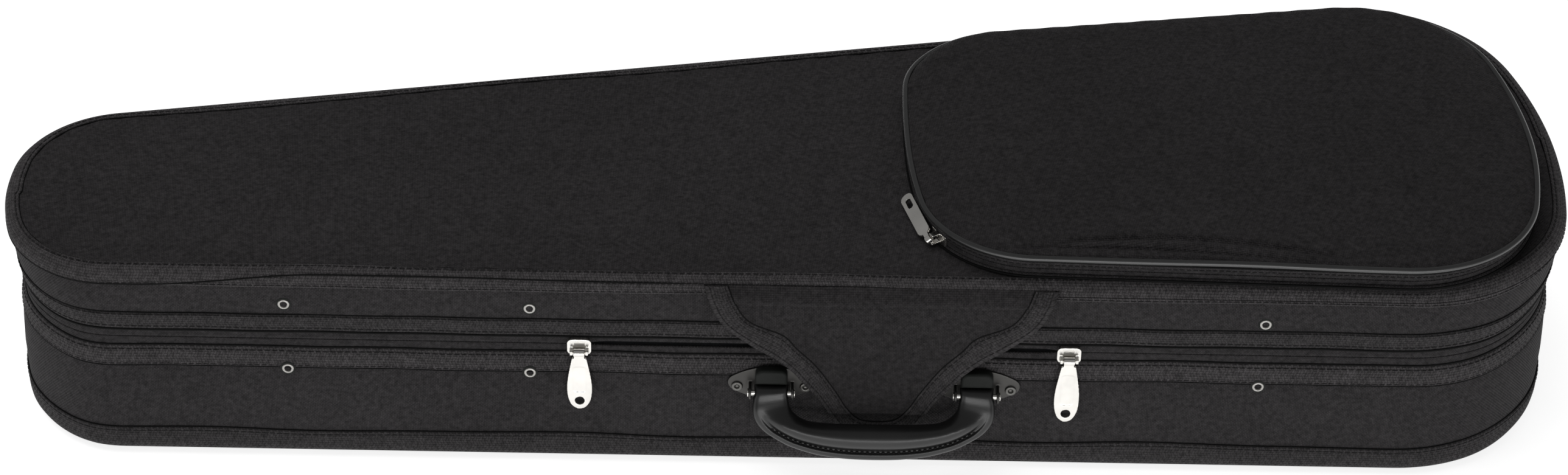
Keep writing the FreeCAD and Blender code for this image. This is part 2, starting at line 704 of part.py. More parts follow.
def violin_space():
    upper = [vec(CAVITY_END_X - s, half, 0) for s, half in BODY_HALF]
    lower = [vec(p.x, -p.y, 0) for p in reversed(upper)]
    curve = Part.BSplineCurve()
    curve.interpolate(upper + lower, PeriodicFlag=True)
    space = Part.Face(Part.Wire([curve.toShape()])).extrude(vec(0, 0, 60))
    space.translate(vec(0, 0, CAVITY_FLOOR))
    return space


def insert_block(x_range):
    """A slice of the foam insert, with the space for the violin cut out of it."""
    block = case_block(LINING_IN, BASE_FLOOR, INSERT_TOP, round_bottom=6.0)
    block = block.common(box(x_range, (-150, 150), (0, 100)))
    channel = box((NECK_END_X, 20), (-NECK_HALF, NECK_HALF), (CAVITY_FLOOR, 80))
    pegs = box((-226, -150), (-46, 46), (CAVITY_FLOOR, 80))
    pegs = pegs.makeFillet(12, [e for e in pegs.Edges if e.BoundBox.ZLength > 20])
    return block.cut([channel, pegs, violin_space()])


def neck_cradle():
    block = box((-98, -42), (-NECK_HALF, NECK_HALF), (CAVITY_FLOOR, INSERT_TOP))
    notch = box((-120, -20), (-14, 14), (34, 80))
    trough = rod(14, vec(-120, 0, 36), vec(-20, 0, 36))
    return block.cut([notch, trough])


def suspension_pad(x, half):
    pad = box(x, (-half, half), (CAVITY_FLOOR, CAVITY_FLOOR + 9))
    return pad.makeFillet(3.0, edges_at(pad, CAVITY_FLOOR + 9))


def accessory_box():
    block = case_block(LINING_IN, BASE_FLOOR, BOX_TOP, round_bottom=6.0)
    block = block.common(box((-400, BOX_END_X), (-150, 150), (0, 100)))
    inner = case_block(LINING_IN + BOX_WALL, BASE_FLOOR + BOX_WALL, BOX_TOP + 5, round_bottom=4.0)
    end = box((-400, BOX_DIVIDER_X - BOX_WALL), (-150, 150), (0, 100))
    well = box((BOX_DIVIDER_X, BOX_END_X - BOX_WALL), (-150, 150), (0, 100))
    return block.cut([inner.common(end), inner.common(well)])


def accessory_lid():
    plate = case_block(LINING_IN + 1, BOX_TOP + 0.6, BOX_TOP + 3)
    return plate.common(box((-400, BOX_DIVIDER_X), (-150, 150), (0, 100)))


def accessory_lid_tab():
    tab = box((-368, -352), (-6, 6), (BOX_TOP + 3, BOX_TOP + 4.2))
    return tab.makeFillet(3, [e for e in tab.Edges if e.BoundBox.ZLength > 1])


def neck_strap():
    strap = box(STRAP_X, (-STRAP_PIVOT_Y, STRAP_PIVOT_Y), (STRAP_PIVOT_Z - 0.8, STRAP_PIVOT_Z + 0.8))
    ends = [e for e in strap.Edges if e.BoundBox.ZLength > 1.5 and e.BoundBox.YMin < 0]
    return strap.makeFillet(5, ends)


def neck_strap_anchor():
    return box(STRAP_X, (STRAP_PIVOT_Y + 1.2, STRAP_PIVOT_Y + 12), (INSERT_TOP, STRAP_PIVOT_Z + 0.4))


# ---------------------------------------------------------------- bow fittings in the lid

def bow_holder_bases():
    shapes = []
    for side in (-1, 1):
        y = side * SPINNER_Y
        base = rod(11, vec(SPINNER_X, y, SPINNER_BASE_Z), vec(SPINNER_X, y, LID_CEILING))
        bore = rod(3.05, vec(SPINNER_X, y, SPINNER_BASE_Z - 1), vec(SPINNER_X, y, 100.6))
        recess = rod(4.6, vec(SPINNER_X, y, 100.6), vec(SPINNER_X, y, 102.6))
        shapes.append(base.cut([bore, recess]))
    return Part.makeCompound(shapes)


def bow_spinner(side):
    y = side * SPINNER_Y
    key = box((SPINNER_X - 17, SPINNER_X + 17), (y - 6, y + 6), (88.3, SPINNER_BASE_Z - 0.3))
    key = key.makeFillet(5.0, [e for e in key.Edges if e.BoundBox.ZLength > 7])
    shaft = rod(3.0, vec(SPINNER_X, y, SPINNER_BASE_Z - 1), vec(SPINNER_X, y, 101.0))
    head = rod(4.4, vec(SPINNER_X, y, 100.8), vec(SPINNER_X, y, 102.2))
    return key.fuse([shaft, head]).removeSplitter()


def bow_tip_sleeve():
    outer = box(SLEEVE_X, (-SLEEVE_HALF, SLEEVE_HALF), (SLEEVE_BOTTOM, LID_CEILING))
    inner = box((SLEEVE_X[0] - 5, SLEEVE_X[1] + 5), (-SLEEVE_HALF + 2, SLEEVE_HALF - 2), (SLEEVE_BOTTOM + 2, 120))
    return outer.cut(inner)


# ---------------------------------------------------------------- all the pieces

NODES = {
    "base_foam_shell": base_foam_shell,
    "base_bottom_panel": base_bottom_panel,
    "base_side_cover": base_side_cover,
    "base_edge_binding": base_edge_binding,
    "base_zip_band": base_zip_band,
    "base_zip_tape": base_zip_tape,
    "hinge_strip_base": lambda: hinge_strip(ZIP_Z - HINGE_REACH, ZIP_Z - 0.15, BASE_BAND_BOTTOM, BASE_BAND_TOP),
    "base_lining": base_lining,
    "lower_bout_insert": lambda: insert_block((INSERT_SPLITS[1], CASE_LENGTH / 2)),
    "upper_bout_insert": lambda: insert_block((INSERT_SPLITS[0], INSERT_SPLITS[1])),
    "neck_side_insert": lambda: insert_block((BOX_END_X, INSERT_SPLITS[0])),
    "lower_suspension_pad": lambda: suspension_pad((318, 350), 40),
    "upper_suspension_pad": lambda: suspension_pad((24, 52), 36),
    "neck_cradle": neck_cradle,
    "neck_strap": neck_strap,
    "neck_strap_anchor": neck_strap_anchor,
    "accessory_box": accessory_box,
    "accessory_lid": accessory_lid,
    "accessory_lid_tab": accessory_lid_tab,
    "base_eyelets": lambda: eyelets(BASE_EYELETS),
    "base_eyelet_washers": lambda: eyelet_washers(BASE_EYELETS),
    "handle_bracket_left": lambda: handle_bracket(bracket_places()[0], -1),
    "handle_bracket_right": lambda: handle_bracket(bracket_places()[1], 1),
    "bracket_rivets": bracket_rivets,
    "bracket_keepers": bracket_keepers,
    "handle_pins": handle_pins,
    "handle_grip": handle_grip,
    "handle_end_loops": handle_end_loops,
    "flap_loop_pad": flap_loop_pad,
    "flap_hook_pad": flap_hook_pad,
    "flap_panel": flap_panel,
    "flap_trim": flap_trim,
    "zip_slider_left": lambda: zip_slider(SLIDER_S["left"]),
    "zip_slider_right": lambda: zip_slider(SLIDER_S["right"]),
    "zip_pull_left": lambda: zip_pull(SLIDER_S["left"], 36.0),
    "zip_pull_right": lambda: zip_pull(SLIDER_S["right"], 33.0),
    "lid_foam_shell": lid_foam_shell,
    "lid_top_panel": lid_top_panel,
    "lid_side_cover": lid_side_cover,
    "lid_edge_binding": lid_edge_binding,
    "lid_zip_band": lid_zip_band,
    "lid_zip_tape": lid_zip_tape,
    "hinge_strip_lid": lambda: hinge_strip(ZIP_Z + 0.15, ZIP_Z + HINGE_REACH, LID_BAND_BOTTOM, LID_BAND_TOP),
    "lid_lining": lid_lining,
    "lid_eyelets": lambda: eyelets(LID_EYELETS),
    "lid_eyelet_washers": lambda: eyelet_washers(LID_EYELETS),
    "bow_holder_bases": bow_holder_bases,
    "bow_spinner_left": lambda: bow_spinner(-1),
    "bow_spinner_right": lambda: bow_spinner(1),
    "bow_tip_sleeve": bow_tip_sleeve,
    "pocket_base_strip": pocket_base_strip,
    "pocket_zip_tape_lower": pocket_zip_tape_lower,
    "pocket_zip_tape_upper": pocket_zip_tape_upper,
    "pocket_upper_gusset": pocket_upper_gusset,
    "pocket_piping": pocket_piping,
    "pocket_top_panel": pocket_top_panel,
    "pocket_slider": pocket_slider,
    "pocket_pull": pocket_pull,
}

os.makedirs("parts", exist_ok=True)
for name, build in NODES.items():
    shape = build()
    solids = len(shape.Solids)
    print(name, "solids", solids, "valid", shape.isValid(), "volume", round(shape.Volume / 1000, 2), "cm3")
    shape.exportStep("parts/" + name + ".step")
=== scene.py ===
import bmesh
import bpy
import numpy as np
from math import atan2, copysign, cos, exp, pi, radians, sin, sqrt, tan
from mathutils import Matrix, Vector, noise


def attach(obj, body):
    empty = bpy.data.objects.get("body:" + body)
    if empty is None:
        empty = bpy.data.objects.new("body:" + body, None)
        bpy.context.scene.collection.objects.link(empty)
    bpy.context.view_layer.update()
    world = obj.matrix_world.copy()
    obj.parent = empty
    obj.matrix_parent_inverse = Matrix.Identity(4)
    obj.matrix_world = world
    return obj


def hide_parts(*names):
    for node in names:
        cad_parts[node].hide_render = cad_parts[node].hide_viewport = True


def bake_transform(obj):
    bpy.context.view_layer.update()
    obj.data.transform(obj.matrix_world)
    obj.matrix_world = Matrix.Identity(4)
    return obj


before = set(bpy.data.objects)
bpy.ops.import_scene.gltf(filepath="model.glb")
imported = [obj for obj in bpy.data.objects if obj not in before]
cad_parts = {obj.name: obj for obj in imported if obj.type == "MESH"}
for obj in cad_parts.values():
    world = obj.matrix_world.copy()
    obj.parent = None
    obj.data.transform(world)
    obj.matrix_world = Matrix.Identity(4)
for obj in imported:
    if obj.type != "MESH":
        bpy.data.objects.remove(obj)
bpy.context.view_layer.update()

# Zipped violin case.  All sizes below are in millimetres, and M turns them into metres.
# +X is the wide end, -Y the handle side, +Z up.  "out" is the distance outside the outline.
# An outline has its x at the narrow and the wide end, and the radii (end, corner) of both.
M = 0.001
TAPER = radians(5.33)
MID_HALF_WIDTH = 101.5
CASE_ENDS = (-395.0, 395.0)
CASE_RADII = ((115.0, 58.0), (275.0, 86.0))
POCKET_ENDS = (59.7, 376.8)
POCKET_RADII = ((400.0, 57.0), (258.0, 71.0))
POCKET_INSET = 13.3
POCKET_TURN = radians(-1.6)
POCKET_TURN_X = 218.0
POCKET_SHIFT = (-0.8, -8.2)
SLIDERS = (-112.0, 129.0)
HINGE_X = (-250.0, 230.0)
CORE_X = (-300, 255)
ZIP_Z = 73
TOP_Z = 115
TOP_ROUND = 6.5
BOTTOM_ROUND = 8.5
HANDLE_S = 33.5
FLAP_S = 35.5
END_TUCK = ((0, 3.0), (30, 3.2), (56, 3.8), (66, 4.0), (80, 4.0), (90, 3.6), (100, 2.5), (109, 0.6),
            (113, 0.0))
EYELETS = {"base": ((-256.0, 56.0), (-136.5, 56.0), (223.5, 55.0)),
           "lid": ((-256.0, 96.0), (-136.0, 96.0), (224.0, 94.0))}


# ---- outlines

class Outline:
    """Points, outward normals and distance round a closed tapered outline, counter-clockwise."""

    def __init__(self, ends, radii, side_inset, step):
        narrow = self.centres(ends[0], radii[0], side_inset, -1)
        wide = self.centres(ends[1], radii[1], side_inset, 1)
        turn_w = atan2(wide[2], wide[1] - wide[0])
        turn_n = atan2(narrow[2], narrow[1] - narrow[0])
        side = pi / 2 + TAPER
        full = 2 * pi
        arcs = [(wide[0], 0, radii[1][0], -turn_w, turn_w),
                (wide[1], wide[2], radii[1][1], turn_w, side), None,
                (narrow[1], narrow[2], radii[0][1], side, turn_n),
                (narrow[0], 0, radii[0][0], turn_n, full - turn_n),
                (narrow[1], -narrow[2], radii[0][1], full - turn_n, full - side), None,
                (wide[1], -wide[2], radii[1][1], full - side, full - turn_w)]
        points, normals = [], []
        for i, arc in enumerate(arcs):
            if arc:
                p, n = self.arc(*arc, step)
            else:
                start, _ = self.arc(*arcs[i - 1], step, last=True)
                end, _ = self.arc(*arcs[i + 1], step)
                t = np.linspace(0, 1, int(np.hypot(*(end[0] - start[-1])) / step) + 1)[:-1, None]
                p = start[-1] * (1 - t) + end[0] * t
                angle = side if i == 2 else -side
                n = np.tile([cos(angle), sin(angle)], (len(p), 1))
            points.append(p)
            normals.append(n)
        self.p = np.concatenate(points)
        self.n = np.concatenate(normals)
        gaps = np.hypot(*(np.roll(self.p, -1, 0) - self.p).T)
        self.s = np.concatenate([[0], np.cumsum(gaps)[:-1]])
        self.length = gaps.sum()
        self.tuck = 0.0

    def tucked(self):
        """The outline of walls that lean in a little at the two ends."""
        self.tuck = smooth(abs(self.n[:, 0]), 0.3, 0.95)
        return self

    def turned(self, angle, x, shift):
        """The outline turned about (x, 0) and then shifted."""
        turn = np.array([[cos(angle), sin(angle)], [-sin(angle), cos(angle)]])
        self.p = (self.p - [x, 0]) @ turn + [x + shift[0], shift[1]]
        self.n = self.n @ turn
        return self

    @staticmethod
    def centres(apex, radii, side_inset, side):
        end_x = apex - side * radii[0]
        slope = tan(TAPER)
        rise = MID_HALF_WIDTH - (side_inset + radii[1]) / cos(TAPER)
        a = 1 + slope * slope
        b = 2 * (slope * rise - end_x)
        c = end_x ** 2 + rise ** 2 - (radii[0] - radii[1]) ** 2
        x = (-b + side * sqrt(b * b - 4 * a * c)) / (2 * a)
        return end_x, x, rise + slope * x

    @staticmethod
    def arc(x, y, radius, start, end, step, last=False):
        count = max(3, int(abs(end - start) * radius / step))
        angles = np.linspace(start, end, count + 1)
        angles = angles if last else angles[:-1]
        n = np.stack([np.cos(angles), np.sin(angles)], 1)
        return n * radius + [x, y], n

    def at(self, out, z):
        """Points in 3D at that distance outside the outline and that height; both may vary along it."""
        z = np.broadcast_to(z, len(self.p))
        out = out - self.tuck * np.interp(z, *zip(*END_TUCK))
        return with_z(self.p + self.n * out[:, None], z)

    def outward(self):
        """The outward normals in 3D."""
        return with_z(self.n)

    def ripple(self, wavelength, amplitude, seed):
        """A smooth random wave along the outline, which closes on itself."""
        rng = np.random.default_rng(seed)
        base = max(1, round(self.length / wavelength))
        wave = np.zeros(len(self.s))
        for k in (base, base + 1, max(1, round(base * 0.62)), round(base * 1.7) + 1):
            phase = rng.uniform(0, 6.28)
            wave += np.sin(2 * pi * k * self.s / self.length + phase) * rng.uniform(0.5, 1.0)
        return amplitude * wave / 2.2


def with_z(points, z=0.0):
    """Points of the plane with a height added."""
    return np.concatenate([points, np.broadcast_to(z, len(points))[:, None]], 1)


def behind(points, low, high, past=0):
    """Which points are on the back of the case, between two x."""
    return (points[:, 1] > past) & (points[:, 0] > low) & (points[:, 0] < high)


def unit(rows):
    """Rows scaled to length 1."""
    return rows / np.linalg.norm(rows, axis=1)[:, None]


def run(points):
    """The distance along a line of points, from its start."""
    steps = np.linalg.norm(np.diff(points, axis=0), axis=1)
    return np.concatenate([[0], np.cumsum(steps)])


def sample(at, s, rows):
    """Rows of numbers that lie at the distances s, read at other distances."""
    return np.stack([np.interp(at, s, column) for column in rows.T], 1)


def smooth(x, low, high):
    """0 below low, 1 above high, and a soft step between."""
    t = np.clip((np.asarray(x, float) - low) / (high - low), 0, 1)
    return t * t * (3 - 2 * t)


def cloud(points, size, seed):
    """Smooth noise, about -0.5 to 0.5, at each point."""
    moved = points / size + (seed * 7.3, -seed * 3.1, 0)
    return np.array([noise.noise(Vector(p)) for p in moved])


case = Outline(CASE_ENDS, CASE_RADII, 0.0, 3.0).tucked()
cavity = Outline(CASE_ENDS, CASE_RADII, 0.0, 3.0)
pocket = Outline(POCKET_ENDS, POCKET_RADII, POCKET_INSET, 2.5)
pocket.turned(POCKET_TURN, POCKET_TURN_X, POCKET_SHIFT)


def wall_y(x):
    return -(MID_HALF_WIDTH + x * tan(TAPER))


def on_front(points, s):
    """From the flat front wall's frame (along, out, up) to the case, with along = 0 at x = s."""
    points = np.asarray(points, float).reshape(-1, 3)
    x = s + points[:, 0] * cos(TAPER) - points[:, 1] * sin(TAPER)
    y = wall_y(s) - points[:, 0] * sin(TAPER) - points[:, 1] * cos(TAPER)
    return np.stack([x, y, points[:, 2]], 1)


# ---- mesh helpers

def new_object(name, data):
    made = bpy.data.objects.new(name, data)
    bpy.context.scene.collection.objects.link(made)
    return made


def new_mesh(name, points, faces, uvs=None, body=None, material=None, slot=None, replaces=()):
    """A mesh piece from points in millimetres; uvs holds one pair per face corner, in millimetres."""
    mesh = bpy.data.meshes.new(name)
    mesh.from_pydata((np.asarray(points) * M).tolist(), [], [list(f) for f in faces])
    if uvs is not None:
        layer = mesh.uv_layers.new(name="UVMap")
        layer.data.foreach_set("uv", (np.asarray(uvs) * M).ravel())
    mesh.polygons.foreach_set("use_smooth", [True] * len(mesh.polygons))
    return dress(new_object(name, mesh), body, material, replaces)


def dress(piece, body, material, replaces=()):
    if material:
        piece.data.materials.clear()
        piece.data.materials.append(material)
    if body:
        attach(piece, body)
    if replaces:
        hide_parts(*replaces)
    return piece


def grid_faces(n, m, closed):
    """Faces and (column, row) corners of an n by m grid, with columns wrapping when closed."""
    columns = n if closed else n - 1
    i, j = np.meshgrid(np.arange(columns), np.arange(m - 1), indexing="ij")
    i, j = i.ravel(), j.ravel()
    corners = np.stack([np.stack([i + a, j + b], 1) for a, b in ((0, 0), (1, 0), (1, 1), (0, 1))], 1)
    faces = (corners[:, :, 0] % n) * m + corners[:, :, 1]
    return faces, corners


def grid_mesh(name, grid, u, v, closed=True, keep=None, **dressing):
    """A mesh over a grid of points, with u by column and v by row; keep says which columns have faces."""
    faces, corners = grid_faces(*grid.shape[:2], closed)
    uvs = np.stack([u[corners[:, :, 0]], v[corners[:, :, 1]]], 2)
    if keep is not None:
        wanted = keep[corners[:, 0, 0]]
        faces, uvs = faces[wanted], uvs[wanted]
    return new_mesh(name, grid.reshape(-1, 3), faces, uvs.reshape(-1, 2), **dressing)


def swept(name, line, profile, wobble=None, keep=None, **dressing):
    """A band swept round an outline. profile lists (out, z); wobble(line, row) gives shifts (out, z)."""
    grid = np.zeros((len(line.p), len(profile), 3))
    for j, (out, z) in enumerate(profile):
        shift = wobble(line, j) if wobble else (0, 0)
        grid[:, j] = line.at(out + shift[0], z + shift[1])
    u = np.append(line.s, line.length)
    return grid_mesh(name, grid, u, run(profile), keep=keep, **dressing)


def panel(name, edge, core, rows, lift, **dressing):
    """A sheet whose rows shrink from a closed edge to a core line, both in the plane; lift(points, t)
    gives its height, t running from 0 at the edge to 1."""
    n, m = len(edge), len(rows)
    grid = np.zeros((n, m, 2))
    heights = np.zeros((n, m))
    for j, t in enumerate(rows):
        grid[:, j] = edge * (1 - t) + core * t
        heights[:, j] = lift(grid[:, j], t)
    faces, _ = grid_faces(n, m, True)
    flat = grid.reshape(-1, 2)
    piece = new_mesh(name, with_z(flat, heights.ravel()), faces, flat[faces].reshape(-1, 2), **dressing)
    mend(piece)
    return piece


def mend(piece, distance=0.00005):
    """Welds doubled points, unless distance is 0, and deletes the points that no face uses."""
    bm = bmesh.new()
    bm.from_mesh(piece.data)
    if distance:
        bmesh.ops.remove_doubles(bm, verts=bm.verts, dist=distance)
    bmesh.ops.delete(bm, geom=[v for v in bm.verts if not v.link_faces], context="VERTS")
    bm.to_mesh(piece.data)
    bm.free()


def tube(name, points, radius, sides=10, closed=True, **dressing):
    """A round tube along points; its radius may vary along it."""
    points = np.asarray(points, float)
    ahead = np.roll(points, -1, 0) - np.roll(points, 1, 0)
    if not closed:
        ahead[0], ahead[-1] = points[1] - points[0], points[-1] - points[-2]
    ahead = unit(ahead)
    side = np.cross(ahead, [0, 0, 1.0])
    side[np.linalg.norm(side, axis=1) < 1e-3] = [1, 0, 0]
    side = unit(side)
    up = np.cross(side, ahead)
    radius = np.broadcast_to(radius, len(points))[:, None]
    angles = np.linspace(0, 2 * pi, sides + 1)
    grid = np.stack([points + radius * (side * cos(a) + up * sin(a)) for a in angles], 1)
    s = run(points)
    u = np.append(s, s[-1] + np.linalg.norm(points[0] - points[-1]))
    piece = grid_mesh(name, grid, u, angles * radius.mean(), closed, **dressing)
    mend(piece)
    return piece


def resample(points, pitch, closed):
    """Evenly spaced centres and directions along a line of points, and their distances along it."""
    line = np.concatenate([points, points[:1]]) if closed else points
    s = run(line)
    count = max(1, int(s[-1] / pitch))
    at = (np.arange(count) + 0.5) * s[-1] / count
    ahead = sample(at + 0.4, s, line) - sample(at - 0.4, s, line)
    return sample(at, s, line), unit(ahead), at


def capsules(name, centre, ahead, normal, length, width, height, **dressing):
    """Many small rounded bars: length along ahead, height along normal."""
    normal = unit(normal - ahead * np.sum(normal * ahead, 1)[:, None])
    side = np.cross(ahead, normal)
    around = np.linspace(0, 2 * pi, 7)[:-1]
    shape = np.array([(t * length, r * width / 2 * cos(a), r * height / 2 * sin(a))
                      for t, r in ((-0.5, 0.35), (-0.32, 0.95), (0.32, 0.95), (0.5, 0.35)) for a in around])
    points = centre[:, None] + sum(axis[:, None] * shape[None, :, k:k + 1]
                                   for k, axis in enumerate((ahead, side, normal)))
    quads = [[r * 6 + k, r * 6 + (k + 1) % 6, (r + 1) * 6 + (k + 1) % 6, (r + 1) * 6 + k]
             for r in range(3) for k in range(6)]
    ends = [[5, 4, 3, 2, 1, 0], [18, 19, 20, 21, 22, 23]]
    faces = [[v + i * 24 for v in f] for i in range(len(centre)) for f in quads + ends]
    return new_mesh(name, points.reshape(-1, 3), faces, **dressing)


def stitches(name, points, normal, closed=True, pitch=3.6, length=2.8, width=0.95, **dressing):
    """A row of thread stitches along a seam; normal is one direction or one per point."""
    centre, ahead, at = resample(points, pitch, closed)
    rows = np.broadcast_to(normal, points.shape)
    if closed:
        points, rows = np.concatenate([points, points[:1]]), np.concatenate([rows, rows[:1]])
    normals = sample(at, run(points), rows)
    return capsules(name, centre, ahead, normals, length, width, 0.42, material=thread, **dressing)


def shade_line(name, points, closed=True, radius=0.5, **dressing):
    """A near-black tube that paints the shade in the line where two layers of cloth are pulled together."""
    return tube(name, points, radius, 6, closed, material=shadow_thread, **dressing)


def loose_copy(node):
    """A copy of a CAD object that can be changed."""
    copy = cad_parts[node].copy()
    copy.data = copy.data.copy()
    copy.parent = None
    for key in list(copy.keys()):
        del copy[key]
    copy.hide_render = copy.hide_viewport = False
    bpy.context.scene.collection.objects.link(copy)
    return copy


def soft_copy(name, nodes, voxel, passes, material, body, swell=0.0, roughness=0.0):
    """A rounded copy of CAD solids: remeshed, smoothed, and slightly uneven like foam under cloth."""
    copies = [loose_copy(node) for node in nodes]
    for o in bpy.context.selected_objects:
        o.select_set(False)
    for o in copies:
        o.select_set(True)
    piece = copies[0]
    bpy.context.view_layer.objects.active = piece
    if len(copies) > 1:
        bpy.ops.object.join()
    piece.name = piece.data.name = name
    remesh = piece.modifiers.new("remesh", "REMESH")
    remesh.mode = "VOXEL"
    remesh.voxel_size = voxel * M
    relax = piece.modifiers.new("relax", "SMOOTH")
    relax.factor = 0.5
    relax.iterations = passes
    for modifier in ("remesh", "relax"):
        bpy.ops.object.modifier_apply(modifier=modifier)
    mesh = piece.data
    if swell or roughness:
        points = read(mesh.vertices, "co", 3)
        push = swell + roughness * cloud(points / M, 22.0, 3)
        points += read(mesh.vertices, "normal", 3) * push[:, None] * M
        mesh.vertices.foreach_set("co", points.ravel())
    mesh.polygons.foreach_set("use_smooth", [True] * len(mesh.polygons))
    mesh.update()
    return dress(piece, body, material, nodes)


def read(items, key, width):
    """One value of every vertex or corner, as rows."""
    values = np.zeros(len(items) * width)
    items.foreach_get(key, values)
    return values.reshape(-1, width)


# ---- materials

class Nodes:
    """Short calls for building a material's nodes."""

    def __init__(self, name):
        self.material = bpy.data.materials.new(name)
        self.material.use_nodes = True
        self.tree = self.material.node_tree
        self.shader = self.tree.nodes["Principled BSDF"]

    def add(self, kind, **values):
        node = self.tree.nodes.new("ShaderNode" + kind)
        for key, value in values.items():
            setattr(node, key, value)
        return node

    def link(self, source, target):
        if isinstance(source, (int, float)):
            target.default_value = source
        else:
            self.tree.links.new(source, target)

    def math(self, operation, a, b=None, c=None):
        node = self.add("Math", operation=operation)
        for value, socket in zip((a, b, c), node.inputs):
            if value is not None:
                self.link(value, socket)
        return node.outputs[0]

    def times(self, a, b, plus=None):
        return self.math("MULTIPLY" if plus is None else "MULTIPLY_ADD", a, b, plus)

    def uv(self):
        node = self.add("UVMap", uv_map="UVMap")
        parts = self.add("SeparateXYZ")
        self.link(node.outputs[0], parts.inputs[0])
        return parts.outputs[0], parts.outputs[1]

    def place(self):
        return self.add("TexCoord").outputs["Object"]

    def noise(self, where, scale, detail=3.0, rough=0.55):
        node = self.add("TexNoise")
        self.link(where, node.inputs["Vector"])
        for key, value in (("Scale", scale), ("Detail", detail), ("Roughness", rough)):
            node.inputs[key].default_value = value
        return node.outputs[0]

    def ramp(self, factor, stops):
        node = self.add("ValToRGB")
        while len(node.color_ramp.elements) < len(stops):
            node.color_ramp.elements.new(0.5)
        for element, (position, color) in zip(node.color_ramp.elements, stops):
            element.position = position
            element.color = (*color, 1.0)
        self.link(factor, node.inputs[0])
        return node.outputs[0]

    def mix(self, factor, a, b, blend="MIX"):
        node = self.add("Mix", data_type="RGBA", blend_type=blend)
        self.link(factor, node.inputs[0])
        for value, socket in ((a, node.inputs[6]), (b, node.inputs[7])):
            if isinstance(value, tuple):
                socket.default_value = (*value, 1.0)
            else:
                self.link(value, socket)
        return node.outputs[2]

    def bump(self, height, strength, distance, before=None):
        node = self.add("Bump")
        node.inputs["Strength"].default_value = strength
        node.inputs["Distance"].default_value = distance * M
        self.link(height, node.inputs["Height"])
        if before:
            self.link(before, node.inputs["Normal"])
        return node.outputs[0]

    def finish(self, color=None, roughness=None, normal=None, **fixed):
        for key, source in (("Base Color", color), ("Roughness", roughness), ("Normal", normal)):
            if source is not None:
                self.link(source, self.shader.inputs[key])
        for key, value in fixed.items():
            self.shader.inputs[key.replace("_", " ")].default_value = value
        return self.material


def grey(value):
    return value, value, value


def weave(name, pitch, dark, light, depth=0.35, ribbed=False):
    """Woven cloth laid out on the UVs: threads go over and under, with slubs, fluff and faint wear."""
    n = Nodes(name)
    u, v = n.uv()
    along = n.times(u, 1 / (pitch[0] * M))
    across = n.times(v, 1 / (pitch[1] * M))
    if ribbed:
        zigzag = n.math("ABSOLUTE", n.math("SUBTRACT", n.math("FRACT", across), 0.5))
        along = n.times(zigzag, 1.6, along)
        across = n.times(across, 4.0)
    sine_u = n.math("SINE", n.times(along, pi))
    sine_v = n.math("SINE", n.times(across, pi))
    over = n.math("GREATER_THAN", n.times(sine_u, sine_v), 0.0)
    weft = n.math("ABSOLUTE", sine_v)
    height = n.times(n.math("SUBTRACT", n.math("ABSOLUTE", sine_u), weft), over, weft)
    where = n.place()
    fluff = n.noise(where, 900.0, 2.0)
    slub = n.noise(where, 120.0, 3.0)
    fade = n.noise(where, 9.0, 4.0)
    # The raised threads are painted lighter than the sunken ones: painted shade between the threads, mixed
    # with random slubs.
    tone = n.times(slub, 0.5, n.times(height, 0.6))
    color = n.ramp(tone, [(0.18, dark), (0.85, light)])
    worn = tuple(c * 1.45 for c in light)
    color = n.mix(n.times(n.math("SUBTRACT", fade, 0.35), 0.55), color, worn)
    mottle = n.ramp(n.noise(where, 420.0, 2.0, 0.7), [(0.3, grey(0.62)), (0.7, grey(1.38))])
    color = n.mix(1.0, color, mottle, "MULTIPLY")
    uneven = n.bump(n.noise(where, 35.0, 3.0), 0.25, 1.2)
    normal = n.bump(n.times(fluff, 0.5, height), 0.75, depth, uneven)
    return n.finish(color, n.times(slub, 0.2, 0.7), normal, Sheen_Weight=0.03, Sheen_Roughness=0.45,
                    Specular_IOR_Level=0.08)


def plush(name, dark, light):
    n = Nodes(name)
    where = n.place()
    pile = n.noise(where, 1400.0, 3.0)
    nap = n.noise(where, 26.0, 4.0)
    color = n.ramp(n.times(nap, 0.7, n.times(pile, 0.3)), [(0.32, dark), (0.68, light)])
    normal = n.bump(pile, 0.6, 0.5, n.bump(nap, 0.3, 1.5))
    return n.finish(color, n.times(pile, 0.2, 0.8), normal, Sheen_Weight=0.5, Sheen_Roughness=0.35)


def metal(name, color, rough, scuff):
    n = Nodes(name)
    where = n.place()
    marks = n.noise(where, 260.0, 5.0, 0.7)
    haze = n.noise(where, 60.0, 3.0)
    worn = n.ramp(haze, [(0.35, color), (0.75, tuple(c * 0.82 for c in color))])
    return n.finish(worn, n.times(marks, scuff, rough), n.bump(marks, 0.08, 0.2), Metallic=1.0)


def glossy(name, dark, light, rough, grain, depth, shine):
    """Moulded plastic or coated leather with a fine grain and handling wear."""
    n = Nodes(name)
    where = n.place()
    cells = n.add("TexVoronoi")
    n.link(where, cells.inputs["Vector"])
    cells.inputs["Scale"].default_value = grain
    wear = n.noise(where, 45.0, 4.0)
    color = n.ramp(wear, [(0.3, dark), (0.8, light)])
    normal = n.bump(cells.outputs["Distance"], 0.25, depth)
    return n.finish(color, n.times(wear, 0.16, rough), normal, Specular_IOR_Level=shine)


def thread_material(name, dark, light):
    n = Nodes(name)
    twist = n.noise(n.place(), 2600.0, 2.0)
    color = n.ramp(twist, [(0.35, dark), (0.7, light)])
    return n.finish(color, n.times(twist, 0.2, 0.6), n.bump(twist, 0.5, 0.15), Specular_IOR_Level=0.1)


